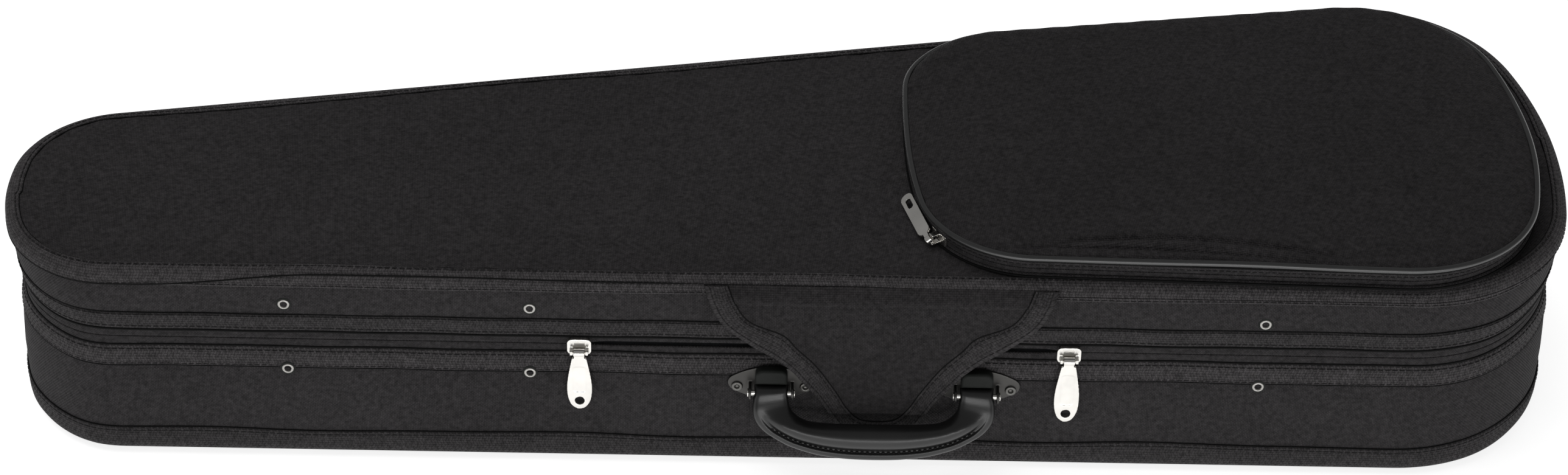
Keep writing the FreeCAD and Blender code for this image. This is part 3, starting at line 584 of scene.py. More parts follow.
FINE = (0.85, 0.85)
RIBBED = (1.5, 6.0)
# Three copies of one black cloth: the top and pocket copies are painted darker than the wall copy, as
# painted shade.
shaded_cloth_top = weave("shaded_cloth_top", FINE, (0.010, 0.0093, 0.0096), (0.030, 0.0280, 0.0290))
shaded_cloth_pocket = weave("shaded_cloth_pocket", FINE, (0.0085, 0.0079, 0.0082), (0.0255, 0.0238, 0.0246))
cloth_wall = weave("cloth_wall", FINE, (0.011, 0.0103, 0.0107), (0.0315, 0.0295, 0.0305))
ribbon = weave("ribbon", RIBBED, (0.011, 0.0103, 0.0106), (0.036, 0.0338, 0.0348), depth=0.5, ribbed=True)
# binding is the ribbon's ribbed tape painted about 1.4 times lighter: painted light on the lid's rolled top
# edge and the base's zipper band.
binding = weave("binding", RIBBED, (0.015, 0.0140, 0.0145), (0.050, 0.0468, 0.0482), depth=0.5, ribbed=True)
zip_cloth = weave("zip_cloth", (0.7, 0.7), (0.011, 0.0104, 0.0108), (0.032, 0.0300, 0.0310), depth=0.25)
plush_grey = plush("plush_grey", (0.055, 0.056, 0.062), (0.13, 0.132, 0.142))
felt_dark = plush("felt_dark", (0.010, 0.010, 0.011), (0.024, 0.024, 0.026))
nickel = metal("nickel", (0.86, 0.84, 0.80), 0.16, 0.16)
# A darker copy of nickel for the eyelets: its darker colour is painted shade, its extra scuffing is wear.
worn_and_shaded_nickel = metal("worn_and_shaded_nickel", (0.42, 0.41, 0.39), 0.22, 0.25)
dull_nickel = metal("dull_nickel", (0.14, 0.137, 0.130), 0.25, 0.25)
dark_nickel = metal("dark_nickel", (0.075, 0.073, 0.070), 0.30, 0.25)
vinyl = glossy("vinyl", grey(0.005), grey(0.010), 0.30, 900.0, 0.03, 1.0)
handle_skin = glossy("handle_skin", grey(0.004), grey(0.009), 0.25, 1500.0, 0.05, 0.52)
hard_black = glossy("hard_black", (0.006, 0.007, 0.006), (0.014, 0.015, 0.014), 0.5, 1900.0, 0.1, 0.15)
coil_plastic = glossy("coil_plastic", grey(0.004), grey(0.010), 0.4, 2200.0, 0.05, 0.3)
thread = thread_material("thread", (0.007, 0.0066, 0.0068), (0.022, 0.021, 0.0215))
shadow_thread = thread_material("shadow_thread", grey(0.002), grey(0.006))

# What a piece is made of.
WALL = dict(material=cloth_wall, slot="black_weave")
TAPE = dict(material=zip_cloth, slot="zip_cloth")
PLUSH = dict(material=plush_grey, slot="plush")
LID_BAND = dict(body="lid", slot="ribbed_band")
BASE_BAND = dict(body="base", slot="ribbed_band")
FLAP_BAND = dict(body="flap", slot="ribbed_band")
LID_WEAVE = dict(body="lid", slot="black_weave")
POCKET_WEAVE = dict(body="pocket_top", slot="black_weave")
HANDLE = dict(body="handle", slot="handle_black")


# ---- shell of the case

def between_sliders():
    """1 on the front wall between the two sliders, where the zipper is open, and 0 elsewhere."""
    x, y = case.p.T
    left, right = SLIDERS
    return (y < 0) * smooth(x, left - 2, left + 14) * (1 - smooth(x, right - 14, right + 2))


WALL_CLOTH = {
    "lid": [(-1.3, 88.0), (-0.75, 90.0), (-0.5, 94.0), (-0.4, 99.0), (-0.5, 104.0), (-0.8, 109.5)],
    "base": [(-0.8, 15.5), (-0.5, 22.0), (-0.35, 32.0), (-0.4, 44.0), (-0.7, 54.0), (-1.3, 58.5)]}
ZIP_BAND = {
    "lid": [(-2.5, 78.2), (-2.0, 78.6), (-1.45, 80.5), (-0.9, 84.0), (-0.45, 87.6), (-0.5, 88.4),
            (-1.3, 88.9)],
    "base": [(-1.3, 56.4), (-0.5, 56.9), (-0.45, 57.8), (-0.9, 61.5), (-1.45, 65.2), (-2.0, 67.4),
             (-2.5, 67.8)]}
# The band's stitch rows and its seams, drawn as painted shade: heights far from and near to the zipper, then
# (name, out, z, radius).
BAND_STITCHES = {"lid": (87.9, 80.2), "base": (57.6, 65.8)}
BAND_SEAM_SHADES = {"lid": [("ribbon", -0.55, 89.4, 0.30), ("tape", -2.35, 77.7, 0.7)],
              "base": [("ribbon", -0.8, 56.3, 0.28), ("tape", -2.8, 68.0, 0.55)]}


def walls(half, seed):
    """The cloth on one half's wall and the ribbed tape beside the zipper."""
    cloth = WALL_CLOTH[half]
    band = dict(body=half, slot="ribbed_band")
    wave = case.ripple(95, 0.35, seed * 20)

    def soft(line, row):
        inner = 0 < row < len(cloth) - 1
        return inner * line.ripple(130, 0.22, seed * 10 + row), 0

    swept(half + "_wall_cloth", case, cloth, soft, body=half, replaces=[half + "_side_cover"], **WALL)
    # On the base the ribbed tape is the lighter binding copy: painted light.
    swept(half + "_zip_ribbon", case, ZIP_BAND[half], lambda line, row: (0, wave),
          material=ribbon if half == "lid" else binding, replaces=[half + "_zip_band"], **band)
    far, near = BAND_STITCHES[half]
    for name, out, z, width in (("far", -0.42, far, 0.7), ("near", -1.4, near, 0.6)):
        stitches(f"{half}_ribbon_{name}_stitch", case.at(out, z + wave), case.outward(), width=width, **band)
    # The seams are near-black tubes: painted shade in the seam lines.
    for (name, out, z, radius), slot in zip(BAND_SEAM_SHADES[half], ("ribbed_band", "zip_cloth")):
        shade_line(f"{half}_{name}_seam", case.at(out, z + wave), radius=radius, body=half, slot=slot)


def zip_tape(half):
    """The tape beside the coil: its edges meet, but stand apart between the two sliders."""
    up = 1 if half == "lid" else -1
    open_ = between_sliders()
    outer = ZIP_Z + up * 5.9
    edge = ZIP_Z + up * (0.12 + 1.25 * open_)
    rows = [(0, 0), (0.25, -0.15), (0.7, 0.1), (0.93, 0.25), (1.0, 0.0), (1.0, -0.8)]

    def shape(line, row):
        t, dip = rows[row]
        return dip - 0.5 * open_ * (row > 1), outer + (edge - outer) * t

    piece = swept(half + "_tape_cloth", case, [(-2.75, 0.0)] * len(rows), shape,
                  ~behind(case.p, HINGE_X[0] + 4, HINGE_X[1] - 4), body=half,
                  replaces=[half + "_zip_tape"], **TAPE)
    layer = piece.data.uv_layers["UVMap"].data
    uv = read(layer, "uv", 2)
    uv[:, 1] = [piece.data.vertices[corner.vertex_index].co.z for corner in piece.data.loops]
    layer.foreach_set("uv", uv.ravel())
    teeth_line = case.at(-3.5 - 0.3 * open_, ZIP_Z + up * (0.9 + 1.35 * open_))
    centre, ahead, _ = resample(teeth_line, 1.7, True)
    keep = ~behind(centre, *HINGE_X)
    centre, ahead = centre[keep], ahead[keep]
    capsules(half + "_coil", centre, np.tile([0, 0, 1.0], (len(centre), 1)), np.cross(ahead, [0, 0, 1.0]),
             2.6, 0.95, 1.3, body=half, material=coil_plastic, slot="zip_cloth")


def edge_bindings():
    """Ribbed tape wrapped round the top and bottom edges, with slightly wandering seams."""
    inner = case.ripple(210, 1.1, 5) + 1.2 * (case.p[:, 1] < 0)
    high = case.ripple(160, 0.5, 6)
    low = case.ripple(170, 0.8, 7)
    corner = np.radians([0, 18, 36, 54, 72, 90])
    turn = [(TOP_ROUND * (sin(a) - 1), TOP_Z + TOP_ROUND * (cos(a) - 1)) for a in corner]
    top = [(-9.0, 113.9), (-8.9, 115.0), (-8.0, 115.3)] + turn + [(0.15, 107.2), (0.0, 106.6), (-0.9, 106.4)]
    # The rolled top edge uses the lighter binding copy of the ribbed tape: painted light.
    swept("lid_top_binding", case, top, lambda line, row: (inner * (row < 3), high * (row > 8)),
          material=binding, replaces=["lid_edge_binding"], **LID_BAND)
    turn = [(BOTTOM_ROUND * (cos(a) - 1), BOTTOM_ROUND * (1 - sin(a))) for a in corner]
    bottom = [(-0.9, 17.0), (0.0, 16.8), (0.2, 16.2), (0.1, 12.0)] + turn
    bottom += [(-11.5, 0.0), (-12.3, 0.3), (-12.4, 1.2)]
    swept("base_bottom_binding", case, bottom, lambda line, row: (0, low * (row < 3)), material=ribbon,
          replaces=["base_edge_binding"], **BASE_BAND)
    stitches("base_binding_stitch", case.at(0.25, 14.9 + low), case.outward(), **BASE_BAND)
    stitches("lid_binding_stitch", case.at(0.2, 107.6 + high), case.outward(), width=0.6, **LID_BAND)
    binding_fold()
    stitches("lid_binding_top_stitch", case.at(-7.2 + inner, 115.35), (0, 0, 1.0), width=0.7, **LID_BAND)
    # Near-black tubes: painted shade in the seams of the lid's top binding and the base's bottom binding.
    shade_line("lid_top_shaded_seam", case.at(-9.0 + inner, 114.6), radius=0.35, **LID_BAND)
    shade_line("base_wall_shaded_seam", case.at(-0.3, 17.1 + low), radius=0.28, **BASE_BAND)


def binding_fold():
    """A crease that wanders up and down the front of the lid's binding, and fades over the flap; it is drawn
    as a near-black tube, painted shade in the crease.
    """
    x = case.p[:, 0]
    rise = 6.9 * smooth(x, -330, -235) - 1.2 * smooth(x, -200, -85) - 3.7 * smooth(x, 20, 130)
    along = 107.0 + rise * smooth(-case.n[:, 1], 0.2, 0.9)
    bend = TOP_Z - TOP_ROUND
    turn = np.maximum(along - bend, 0) / 6.65
    fold = case.at(-TOP_ROUND + 6.6 * np.cos(turn), np.minimum(along, bend) + 6.6 * np.sin(turn))
    fade = smooth(x, -80, -50) * (case.n[:, 1] < 0)
    shade_line("lid_binding_shaded_fold", fold, radius=0.38 - 0.26 * fade, **LID_BAND)


def core_line(points, low, high):
    """The nearest points of the middle line, in steps, for a sheet that shrinks to it."""
    step = 6
    x = np.round(np.clip(points[:, 0], low, high) / step) * step
    return np.stack([x, 0 * x], 1)


def lid_top():
    edge = case.p - case.n * 8.2

    def crown(points, t):
        place = with_z(points)
        rise = 1.6 * (1 - (1 - t) ** 2.2)
        waves = 0.9 * cloud(place, 120, 1) + 0.45 * cloud(place, 45, 2)
        pucker = 0.22 * exp(-t * 14) * np.sin(case.s / 3.1)
        return 114.4 + rise + (waves * min(1, t * 5) + pucker)

    rows = [0, 0.02, 0.045, 0.08, 0.13, 0.2, 0.3, 0.42, 0.56, 0.7, 0.85, 1.0]
    # The top cloth is a darker copy of the weave: painted shade.
    piece = panel("lid_top_cloth", edge, core_line(edge, *CORE_X), rows, crown, material=shaded_cloth_top,
                  replaces=["lid_top_panel"], **LID_WEAVE)


def base_bottom():
    edge = case.p - case.n * 11.6

    def level(points, t):
        return 0.25 + 0.1 * np.sin(points[:, 0] / 40) * min(1, t * 4)

    panel("base_bottom_cloth", edge, core_line(edge, *CORE_X), [0, 0.1, 0.3, 0.6, 1.0], level, body="base",
          replaces=["base_bottom_panel"], **WALL)


def cloth_hinge():
    """One strip of cloth along the back, where the lid opens."""
    profile = [(-1.3, 62.6), (-0.5, 63.0), (-0.35, 66), (-0.4, 69), (-0.5, 71), (-0.55, 72), (-0.55, 73),
               (-0.55, 74), (-0.5, 75), (-0.4, 77), (-0.35, 80), (-0.5, 83.0), (-1.3, 83.4)]
    piece = swept("cloth_hinge", case, profile, keep=behind(case.p, *HINGE_X),
                  replaces=["hinge_strip_base", "hinge_strip_lid"], **WALL)
    mend(piece, 0)
    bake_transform(piece)
    back = behind(case.p, HINGE_X[0] + 2, HINGE_X[1] - 2)
    for half, z in (("base", 64.4), ("lid", 81.6)):
        stitches(half + "_hinge_stitch", case.at(-0.25, z)[back], case.outward()[back], closed=False,
                 body=half, slot="black_weave")


# ---- pocket

POCKET_BANDS = (
    ("pocket_lower_cloth", "lid", WALL, "pocket_base_strip", (90, 0.25, 30),
     [(1.6, 114.2), (0.9, 114.6), (0.4, 115.3), (0.1, 116.1), (-0.2, 116.7), (-1.2, 116.9)]),
    ("pocket_upper_cloth", "pocket_top", WALL, "pocket_upper_gusset", (110, 0.2, 31),
     [(-1.2, 121.9), (-0.2, 122.2), (0.15, 123.0), (0.35, 124.2), (0.4, 125.9)]),
    ("pocket_tape_low", "lid", TAPE, "pocket_zip_tape_lower", (100, 0, 0),
     [(-1.6, 116.0), (-1.5, 117.6), (-1.3, 118.9), (-1.5, 119.4), (-2.3, 119.5)]),
    ("pocket_tape_high", "pocket_top", TAPE, "pocket_zip_tape_upper", (100, 0, 0),
     [(-2.3, 119.7), (-1.5, 119.8), (-1.3, 120.3), (-1.5, 121.6), (-1.6, 122.8)]))


def pocket_pieces():
    for name, body, look, node, waves, profile in POCKET_BANDS:
        wave = pocket.ripple(*waves)
        swept(name, pocket, profile, lambda line, row: (wave, 0), body=body, replaces=[node], **look)
    for name, z, look in (("low", 115.9, LID_WEAVE), ("high", 122.8, POCKET_WEAVE)):
        stitches(f"pocket_{name}_stitch", pocket.at(0.25, z), pocket.outward(), pitch=3.2, length=2.4,
                 width=0.6, **look)
    back = smooth(pocket.n[:, 1], 0.1, 0.8)
    out = 0.2 + pocket.ripple(150, 0.35, 33) + 0.4 * back
    line = pocket.at(out, 127.0 + pocket.ripple(210, 0.35, 34) - 1.4 * back)
    tube("pocket_edge_piping", line, 1.6, 14, body="pocket_top", material=vinyl, slot="black_vinyl",
         replaces=["pocket_piping"])
    # Near-black tubes: a painted contact shadow where the pocket's foot meets the lid, and painted shade in
    # the seam under the piping.
    shade_line("pocket_foot_shadow", pocket.at(0.25, 115.7), radius=0.75, **LID_WEAVE)
    shade_line("pocket_piping_shaded_seam", pocket.at(0.3, 125.0), radius=0.5, **POCKET_WEAVE)


def pocket_frame(points):
    """Undoes the pocket's turn and shift, so that its own middle line is y = 0."""
    x = points[:, 0] - POCKET_TURN_X - POCKET_SHIFT[0]
    y = points[:, 1] - POCKET_SHIFT[1]
    c, s = cos(POCKET_TURN), sin(POCKET_TURN)
    return np.stack([x * c + y * s + POCKET_TURN_X, y * c - x * s], 1)


def pocket_panel():
    """The padded pocket cover: crowned, with soft folds along its front edge."""
    edge = pocket.p - pocket.n * 1.1
    ends = core_line(pocket_frame(edge), 178, 268)[:, 0]
    lean = (ends - POCKET_TURN_X) * sin(POCKET_TURN)
    core = np.stack([ends + POCKET_SHIFT[0], lean + POCKET_SHIFT[1]], 1)
    back = smooth(pocket.n[:, 1], 0.1, 0.8)

    def crown(points, t):
        place = with_z(points)
        x, y = pocket_frame(points).T
        inside = np.hypot(*(points - edge).T)
        rise = 3.4 * (1 - (1 - t) ** 9) + 1.6 * (1 - (1 - t) ** 2)
        rise = rise + back * 3.4 * (1 - np.exp(-inside / 1.8)) * np.exp(-inside / 45) * (1 - t)
        waves = 0.9 * cloud(place, 95, 4) + 0.5 * cloud(place, 38, 5)
        from_front = (y + MID_HALF_WIDTH - POCKET_INSET) * cos(TAPER) + x * sin(TAPER)
        near = np.maximum(8.0 * (1 - ((x - 162) / 95) ** 2), 0.5)
        far = np.maximum(15.0 * (1 - ((x - 188) / 100) ** 2), 1.5)
        fold = sum(height * np.exp(-((from_front - middle) / width) ** 2) for height, middle, width in (
            (1.5, near * 0.45, 2.5), (-2.0, near, 1.4), (1.4, (near + far) / 2, 1.8), (-1.5, far, 1.7)))
        along = smooth(x, 78, 120) * (1 - smooth(x, 245, 285))
        pucker = 0.2 * exp(-t * 16) * np.sin(pocket.s / 2.7)
        return 127.6 + rise + (waves * min(1, t * 4) + fold * along * min(1, t * 14) + pucker)

    rows = np.concatenate([np.arange(0, 0.22, 0.0085), [0.25, 0.29, 0.34, 0.41, 0.5, 0.62, 0.75, 0.88, 1.0]])
    # The pocket cover is the darkest copy of the weave: painted shade.
    piece = panel("pocket_top_cloth", edge, core, rows, crown, material=shaded_cloth_pocket,
                  replaces=["pocket_top_panel"], **POCKET_WEAVE)


def pocket_back():
    """Cloth along the back of the pocket, where its cover turns."""
    profile = [(-0.3, 115.4), (0.05, 116.4), (0.1, 117.8), (0.1, 118.6), (0.1, 119.6), (0.1, 120.6),
               (0.05, 121.8), (-0.2, 123.0)]
    piece = swept("pocket_back_cloth", pocket, profile, keep=behind(pocket.p, 125, 285, 40), **WALL)
    mend(piece, 0)
    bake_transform(piece)


# ---- flap

FLAP_TOP = 112.2
FLAP_TIP = 17.8
FLAP_EDGE = ((85.6, FLAP_TOP), (77.5, 93), (62, 79), (50, 71), (41.5, 63), (37, 57), (28.5, 46), (19, 29),
             (14.5, 21.5), (8, 18.3))
TRIM_EDGE = ((75.4, FLAP_TOP), (65.5, 94), (48, 85), (41, 77), (31, 66), (21.5, 51), (15.5, 40), (9, 32.5))


def curve_through(points, count):
    """A smooth line through a few points (Catmull-Rom), evenly resampled."""
    p = np.asarray(points, float)
    p = np.concatenate([[2 * p[0] - p[1]], p, [2 * p[-1] - p[-2]]])
    dense = [0.5 * (2 * p[k] + (p[k + 1] - p[k - 1]) * t
                    + (2 * p[k - 1] - 5 * p[k] + 4 * p[k + 1] - p[k + 2]) * t * t
                    + (3 * p[k] - p[k - 1] - 3 * p[k + 1] + p[k + 2]) * t ** 3)
             for k in range(1, len(p) - 2) for t in np.linspace(0, 1, 24, endpoint=False)]
    dense = np.array(dense + [p[-2]])
    s = run(dense)
    return sample(np.linspace(0, s[-1], count), s, dense)


def both_sides(points, middle, count):
    """A smooth line through points, a middle, and the points mirrored."""
    return curve_through(list(points) + middle + [(-u, v) for u, v in reversed(points)], count)


def flap_out(z):
    """How far the flap stands off the wall: it rolls out from under the lid's binding, then hangs."""
    top = np.interp(z, [99, 101.5, 103.2, 104.2, 106, 108, 110, 111.5, FLAP_TOP],
                    [1.8, 1.7, 1.3, 2.1, 2.0, 1.1, -0.4, -1.5, -2.1])
    tip = 0.8 * (1 - smooth(z, 27, 42))
    belly = 0.5 * np.sin(np.clip((z - 30) / 60, 0, 1) * pi)
    return np.minimum(top, 1.8 + 0.4 * smooth(z, 100, 104)) - tip + belly


def on_flap(points, rise):
    """Points (along, up) in the flap's plane, placed over its curved surface on the front wall."""
    out = flap_out(points[:, 1]) + rise + 0.5 * cloud(with_z(points), 40, 8)
    return on_front(np.stack([points[:, 0], out, points[:, 1]], 1), FLAP_S)


def flap_pieces():
    flap_cloth()
    side = both_sides(FLAP_EDGE, [(0, FLAP_TIP)], 150)
    trim = both_sides(TRIM_EDGE, [(0, 31.0)], 150)
    flap_ribbon(side, trim)
    for name, t in (("flap_outer_stitch", 0.14), ("flap_inner_stitch", 0.86)):
        stitches(name, on_flap(side * (1 - t) + trim * t, 2.75), (-sin(TAPER), -cos(TAPER), 0),
                 closed=False, width=0.6, **FLAP_BAND)
    for name, t, rise in (("flap_rim_shade", -0.03, 1.6), ("flap_inner_shade", 1.02, 1.75)):
        shade_line(name, on_flap(side * (1 - t) + trim * t, rise), closed=False, radius=0.38, **FLAP_BAND)


def flap_cloth():
    """The hanging flap: one padded sheet, front and back, closed round its edge."""
    half, z = curve_through(FLAP_EDGE + ((0, FLAP_TIP),), 130).T
    across = [1.0, 0.992, 0.975, 0.94, 0.86, 0.72, 0.54, 0.36, 0.18, 0.0]
    across += [-t for t in reversed(across[:-1])]
    around = [(t, 1) for t in across] + [(t, -1) for t in reversed(across[1:-1])]
    flat, grid = [], []
    for t, face in around:
        gap = np.minimum((1 - abs(t)) * np.maximum(half, 0.01), (z - FLAP_TIP) * 2.5)
        thick = 0.85 * np.sqrt(np.clip(gap / 1.2, 0, 1)) * (0.1 + 0.9 * smooth(FLAP_TOP - z, -0.5, 3))
        flat.append(np.stack([half * t, z], 1))
        grid.append(on_flap(flat[-1], 1.0 + face * thick))
    faces, _ = grid_faces(len(around), len(z), True)
    uvs = np.concatenate(flat)[faces].reshape(-1, 2)
    # The flap uses the pocket's darker copy of the weave: painted shade.
    cloth = new_mesh("flap_cloth", np.concatenate(grid), faces, uvs, body="flap", material=shaded_cloth_pocket,
                     slot="black_weave", replaces=["flap_panel", "flap_hook_pad"])
    mend(cloth)


def flap_ribbon(side, trim):
    """The ribbed tape sewn round the flap's rim; its section lists (part of the width, rise, growth)."""
    away = unit(side - trim)
    section = [(0.10, -0.9, 0), (0.02, -1.0, 0.7), (0.0, -0.3, 1.3), (0.0, 0.7, 1.3), (0.03, 1.35, 0.9),
               (0.1, 1.62, 0.3), (0.2, 1.7, 0), (0.4, 1.72, 0), (0.6, 1.72, 0), (0.8, 1.7, 0),
               (0.93, 1.6, 0), (0.99, 1.3, 0), (1.0, 0.7, 0)]
    grid = np.stack([on_flap(side * (1 - t) + trim * t + away * grow, 1.0 + rise)
                     for t, rise, grow in section], 1)
    v = np.array([t for t, _, _ in section]) * 10
    grid_mesh("flap_ribbon", grid, run(side), v, False, material=ribbon, replaces=["flap_trim"], **FLAP_BAND)


# ---- handle

TILT = radians(28.5)
PIN = (5.0, 50.0)
OUTER = ((59.4, -4.2), (59.4, 0), (60.2, 6), (59.9, 11), (57.8, 15.5), (53.8, 19.8), (48.5, 23.2),
         (42, 26.6), (34, 29.3), (26, 31.2), (14, 32.7), (0, 33.1))
INNER = ((42.6, -4.2), (42.6, 0), (42.3, 4), (41.2, 7.6), (38.5, 10.8), (35, 13), (30, 14.4), (18, 15.1),
         (0, 15.2))
THICKNESS = ((-4.2, 0.5), (-4.0, 2.6), (-3.4, 5.0), (-2.4, 6.9), (-1.0, 8.1), (0.0, 8.4), (3.5, 7.4),
             (8.0, 7.5), (11.0, 9.0), (13.0, 10.9), (15.5, 13.2), (18.0, 14.8), (22.0, 15.0))
# Half of the grip's section, in parts of its width and thickness: the flange, before the roll.
FLANGE = ((0.50, 0.0), (0.49, 0.045), (0.46, 0.09), (0.42, 0.125), (0.38, 0.145), (0.345, 0.155),
          (0.32, 0.145), (0.305, 0.10), (0.27, 0.09), (0.235, 0.10))


def place_handle(points):
    """From the handle's plane (along, normal, down) to the front wall."""
    p = np.asarray(points, float).reshape(-1, 3)
    out = PIN[0] + p[:, 2] * sin(TILT) - p[:, 1] * cos(TILT)
    z = PIN[1] - p[:, 2] * cos(TILT) - p[:, 1] * sin(TILT)
    return on_front(np.stack([p[:, 0], out, z], 1), HANDLE_S)


def handle_pieces():
    """The leather grip with its two straps and sewn flange, as one tube round the handle's middle line."""
    outer, inner = (both_sides(line[:-1], [line[-1]], 121) for line in (OUTER, INNER))
    middle = (outer + inner) / 2
    width = np.linalg.norm(outer - inner, axis=1)[:, None]
    across = (outer - inner) / width
    depth = middle[:, 1]
    thick = np.interp(depth, *zip(*THICKNESS))
    rolled = smooth(depth, 6, 17)
    ring = list(FLANGE)
    ring += [(-0.14 + 0.36 * cos(a), 0.5 * sin(a)) for a in np.linspace(0.32, pi - 0.25, 13)]
    ring += [(-0.50, 0.0)]
    ring += [(p, -q) for p, q in reversed(ring[1:-1])]
    ring += ring[:1]

    def on_handle(part, height):
        u, down = (middle + across * width * part).T
        return place_handle(np.stack([u, height, down], 1))

    grid = []
    for p, q in ring:
        strap = copysign(0.5 * max(0.0, 1 - abs(2 * p) ** 5) ** 0.5, q) if q else 0.0
        grid.append(on_handle(p, (strap * (1 - rolled) + q * rolled) * thick))
    grip = grid_mesh("handle_leather", np.stack(grid, 1), run(middle), np.arange(len(ring)) * 1.6, False,
                     material=handle_skin, replaces=["handle_grip", "handle_end_loops"], **HANDLE)
    mend(grip)
    for name, side in (("handle_stitch_front", 1), ("handle_stitch_back", -1)):
        line = on_handle(0.28, -side * (0.10 * thick + 0.1))[depth > 11]
        normal = place_handle([[0, -side, 0]]) - place_handle([[0, 0, 0]])
        stitches(name, line, normal[0], closed=False, pitch=2.6, length=1.7, width=1.0, **HANDLE)


# ---- metal

EYELET = ((3.0, -0.9), (3.0, -0.2), (2.75, 0.1), (2.3, 0.3), (1.9, 0.2), (1.6, -0.3), (1.5, -1.2),
          (1.5, -6.0))
# A near-black ring pressed into the cloth round each eyelet: a dent, with painted shade in it.
EYELET_SHADED_DENT = ((4.1, -0.9), (3.7, -0.3), (3.2, -0.25), (2.7, -0.6))
RIVET = ((2.9, 0.4), (2.85, 1.0), (2.5, 1.4), (2.0, 1.5), (1.5, 1.4), (1.15, 1.0), (1.05, 0.4), (0.0, 0.3))


def turned(name, profile, body, s, along, z, material, replaces=()):
    """A turned metal piece on the front wall from pairs (radius, out)."""
    turns = np.arange(28) / 28 * 2 * pi
    grid = [(along + r * cos(a), out, z + r * sin(a)) for a in turns for r, out in profile]
    faces, _ = grid_faces(len(turns), len(profile), True)
    piece = new_mesh(name, on_front(grid, s), faces, body=body, material=material, slot="nickel",
                     replaces=replaces)
    mend(piece, 0.00002)


def lay_over(piece, degrees, shift):
    """Turns a long flat piece about its own length, so that its face looks up, and moves it outwards."""
    points = read(piece.data.vertices, "co", 3)
    middle = points.mean(0)
    along = np.linalg.svd(points - middle, full_matrices=False)[2][0]
    away = np.cross(along, (0, 0, 1.0))
    away = away / np.linalg.norm(away)
    pocket_middle = (0.218, -0.008, 0.12)
    if np.dot(away, middle - pocket_middle) < 0:
        away = -away
    if np.cross(along, away)[2] < 0:
        along = -along
    turn = np.array(Matrix.Rotation(radians(degrees), 3, Vector(along)))
    moved = (points - middle) @ turn.T + middle + away * shift * M
    piece.data.vertices.foreach_set("co", moved.ravel())
    piece.data.update()


def metal_pieces():
    for body, places in EYELETS.items():
        for k, (s, z) in enumerate(places):
            nodes = [body + "_eyelets"] if k == 0 else []
            # The eyelets use the darker nickel copy: painted shade.
            turned(f"{body}_rivet_{k + 1}", EYELET, body, s, 0, z, worn_and_shaded_nickel, nodes)
            # A near-black ring round the eyelet: painted shade in the dent of the cloth.
            turned(f"{body}_rivet_shaded_dent_{k + 1}", EYELET_SHADED_DENT, body, s, 0, z, hard_black)
    reach = 51.0 * cos(TAPER)
    for k, (side, along) in enumerate([(-1, -17), (-1, 17), (1, -17), (1, 17)]):
        nodes = ["bracket_rivets"] if k == 0 else []
        s = HANDLE_S + side * reach
        turned(f"bracket_rivet_{k + 1}", RIVET, "base", s, along, 50.5, dull_nickel, nodes)
    zip_nodes = [f"zip_{kind}_{side}" for kind in ("slider", "pull") for side in ("left", "right")]
    for node in zip_nodes + ["pocket_slider", "pocket_pull"]:
        slot = "dark_nickel" if "slider" in node else "nickel"
        piece = soft_copy(node + "_cast", [node], 0.3, 2, nickel, node)
        if node == "pocket_pull":
            lay_over(piece, 50, 1.6)
    for node, material, slot in (
            ("handle_bracket_left", dark_nickel, "dark_nickel"),
            ("handle_bracket_right", dark_nickel, "dark_nickel"),
            ("handle_pins", nickel, "nickel"),
            ("bracket_keepers", hard_black, "black_plastic")):
        soft_copy(node + "_cast", [node], 0.3, 2, material, "base")


# ---- inside

# The plush: its rim as (out, distance from the zipper), then the walls as (out, z).
RIM = ((-7.3, 6.4), (-7.3, 1.8), (-7.9, 0.6), (-9.0, 0.25), (-12.5, 0.2), (-16.5, 0.25), (-17.6, 0.7),
       (-18.0, 2.0))
BASE_WALL = ((-17.9, 60.0), (-17.9, 40.0), (-17.9, 20.0), (-18.4, 16.0), (-20.0, 13.4), (-23.5, 12.4))
LID_WALL = ((-17.9, 84.0), (-17.9, 93.0), (-18.4, 99.0), (-20.0, 102.4), (-23.5, 103.6))


def linings():
    """Plush over the foam: the walls with their rounded rims, the floor and the ceiling."""
    def uneven(line, row):
        return (row > 6) * line.ripple(70, 0.3, 40 + row), 0

    edge = cavity.p - cavity.n * 23.0
    for body, up, wall in (("base", -1, BASE_WALL), ("lid", 1, LID_WALL)):
        nodes = [body + "_lining", body + "_foam_shell", body + "_eyelet_washers"]
        profile = [(out, ZIP_Z + up * z) for out, z in RIM] + list(wall)
        swept(body + "_plush_wall", cavity, profile, uneven, body=body, replaces=nodes, **PLUSH)
        level = wall[-1][1]
        panel(body + "_plush_field", edge, core_line(edge, *CORE_X), [0, 0.05, 0.2, 0.5, 1.0],
              lambda p, t: level + 0.3 * np.sin(p[:, 0] / 17) * min(1, t * 8), body=body, **PLUSH)


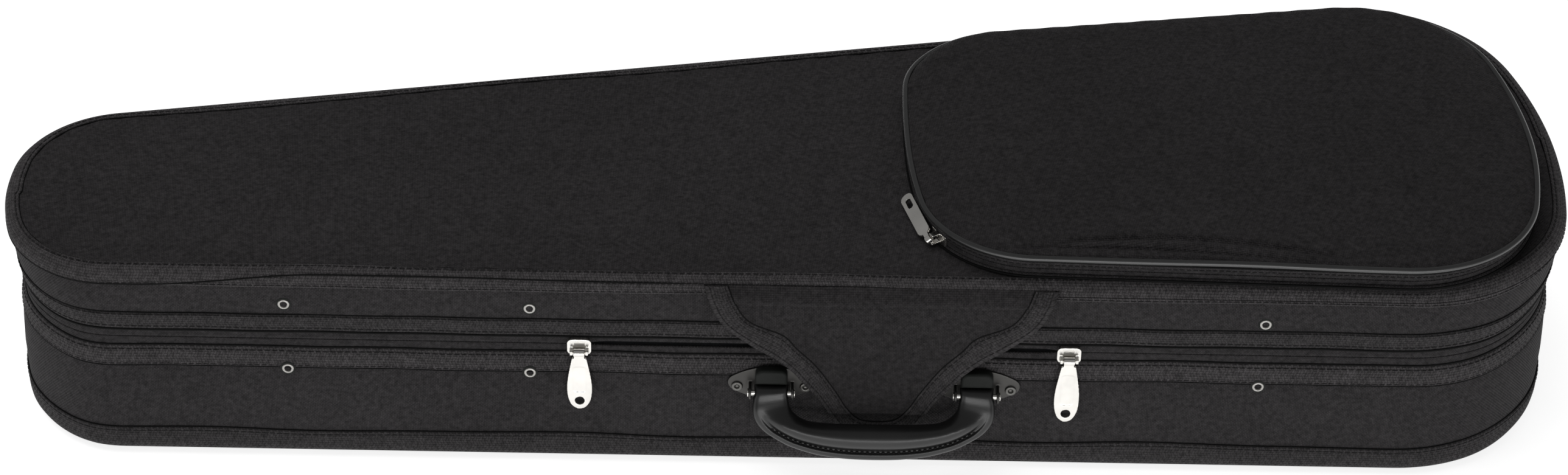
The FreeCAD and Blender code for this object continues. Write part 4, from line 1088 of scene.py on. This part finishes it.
def inside_pieces():
    inserts = ["lower_bout_insert", "upper_bout_insert", "neck_side_insert"]
    for name, nodes, voxel, passes, body, soft in (
            ("violin_cradle", inserts, 3.0, 6, "base", True),
            ("neck_rest", ["neck_cradle"], 2.0, 5, "base", True),
            ("lower_pad", ["lower_suspension_pad"], 1.6, 5, "base", True),
            ("upper_pad", ["upper_suspension_pad"], 1.6, 5, "base", True),
            ("accessory_tray", ["accessory_box"], 1.2, 3, "base", False),
            ("accessory_cover", ["accessory_lid"], 0.8, 3, "accessory_lid", True),
            ("tip_sleeve", ["bow_tip_sleeve"], 0.8, 3, "lid", False)):
        piece = soft_copy(name, nodes, voxel, passes, plush_grey, body, 0.2, 0.8)
    for name, node, voxel, body in (
            ("cover_tab", "accessory_lid_tab", 0.4, "accessory_lid"),
            ("strap_over_neck", "neck_strap", 0.5, "neck_strap"),
            ("strap_anchor", "neck_strap_anchor", 0.5, "base"),
            ("loop_pad", "flap_loop_pad", 0.4, "base")):
        soft_copy(name, [node], voxel, 3, felt_dark, body)
    for name, node, voxel, body in (
            ("spinner_mounts", "bow_holder_bases", 0.7, "lid"),
            ("spinner_left", "bow_spinner_left", 0.6, "bow_spinner_left"),
            ("spinner_right", "bow_spinner_right", 0.6, "bow_spinner_right")):
        soft_copy(name, [node], voxel, 3, hard_black, body)


# ---- stage

def stage():
    n = Nodes("paper")
    grain = n.noise(n.place(), 30.0, 2.0)
    white = n.ramp(grain, [(0.3, grey(0.58)), (0.7, grey(0.62))])
    paper = n.finish(white, Roughness=0.9, Emission_Color=(1, 1, 1, 1), Emission_Strength=0.82)
    reach = 6000
    corners = [(x * reach, y * reach, 0) for x, y in ((-1, -1), (1, -1), (1, 1), (-1, 1))]
    floor = new_mesh("floor", corners, [(0, 1, 2, 3)], material=paper)
    floor.location.z = -0.0006
    world = bpy.data.worlds.new("studio")
    bpy.context.scene.world = world
    world.use_nodes = True
    background = world.node_tree.nodes["Background"]
    background.inputs[0].default_value = (1.0, 1.0, 1.0, 1.0)
    background.inputs[1].default_value = 0.22
    softbox("softbox_above", (2.4, 2.4), (-0.7, 0.3, 2.3), (-0.2, 0.0, 0.1), 40.0, mirrored=False)
    softbox("softbox_front", (3.4, 0.18), (0.0, -2.6, 0.22), (0.0, 0.0, 0.05), 22.0)


def softbox(name, size, place, target, power, mirrored=True):
    data = bpy.data.lights.new(name, "AREA")
    data.shape = "RECTANGLE"
    data.size, data.size_y = size
    data.energy = power
    lamp = new_object(name, data)
    lamp.location = place
    lamp.visible_glossy = mirrored
    lamp.rotation_euler = (Vector(target) - Vector(place)).to_track_quat("-Z", "Y").to_euler()


def camera():
    azimuth, elevation, roll = (radians(angle) for angle in (-5.85, 36.65, 1.33))
    distance = 2.112
    back = Vector((sin(azimuth) * cos(elevation), -cos(azimuth) * cos(elevation), sin(elevation)))
    right = Vector((cos(azimuth), sin(azimuth), 0))
    up = back.cross(right)
    turned_right = right * cos(roll) + up * sin(roll)
    turned_up = up * cos(roll) - right * sin(roll)
    matrix = Matrix((turned_right, turned_up, back)).transposed().to_4x4()
    matrix.translation = Vector((0.004, 0.0135, 0.05)) + back * distance
    data = bpy.data.cameras.new("camera")
    data.sensor_width = 36.0
    data.lens = 93.28
    data.shift_x = -0.0062
    data.shift_y = 0.0074
    data.clip_end = 50.0
    eye = new_object("camera", data)
    eye.matrix_world = matrix
    bpy.context.scene.camera = eye


camera()
for shell_half, shell_seed in (("base", 2), ("lid", 1)):
    walls(shell_half, shell_seed)
    zip_tape(shell_half)
edge_bindings()
lid_top()
base_bottom()
cloth_hinge()
pocket_pieces()
pocket_panel()
pocket_back()
flap_pieces()
handle_pieces()
metal_pieces()
linings()
inside_pieces()
stage()
bpy.context.scene.view_settings.view_transform = "Standard"
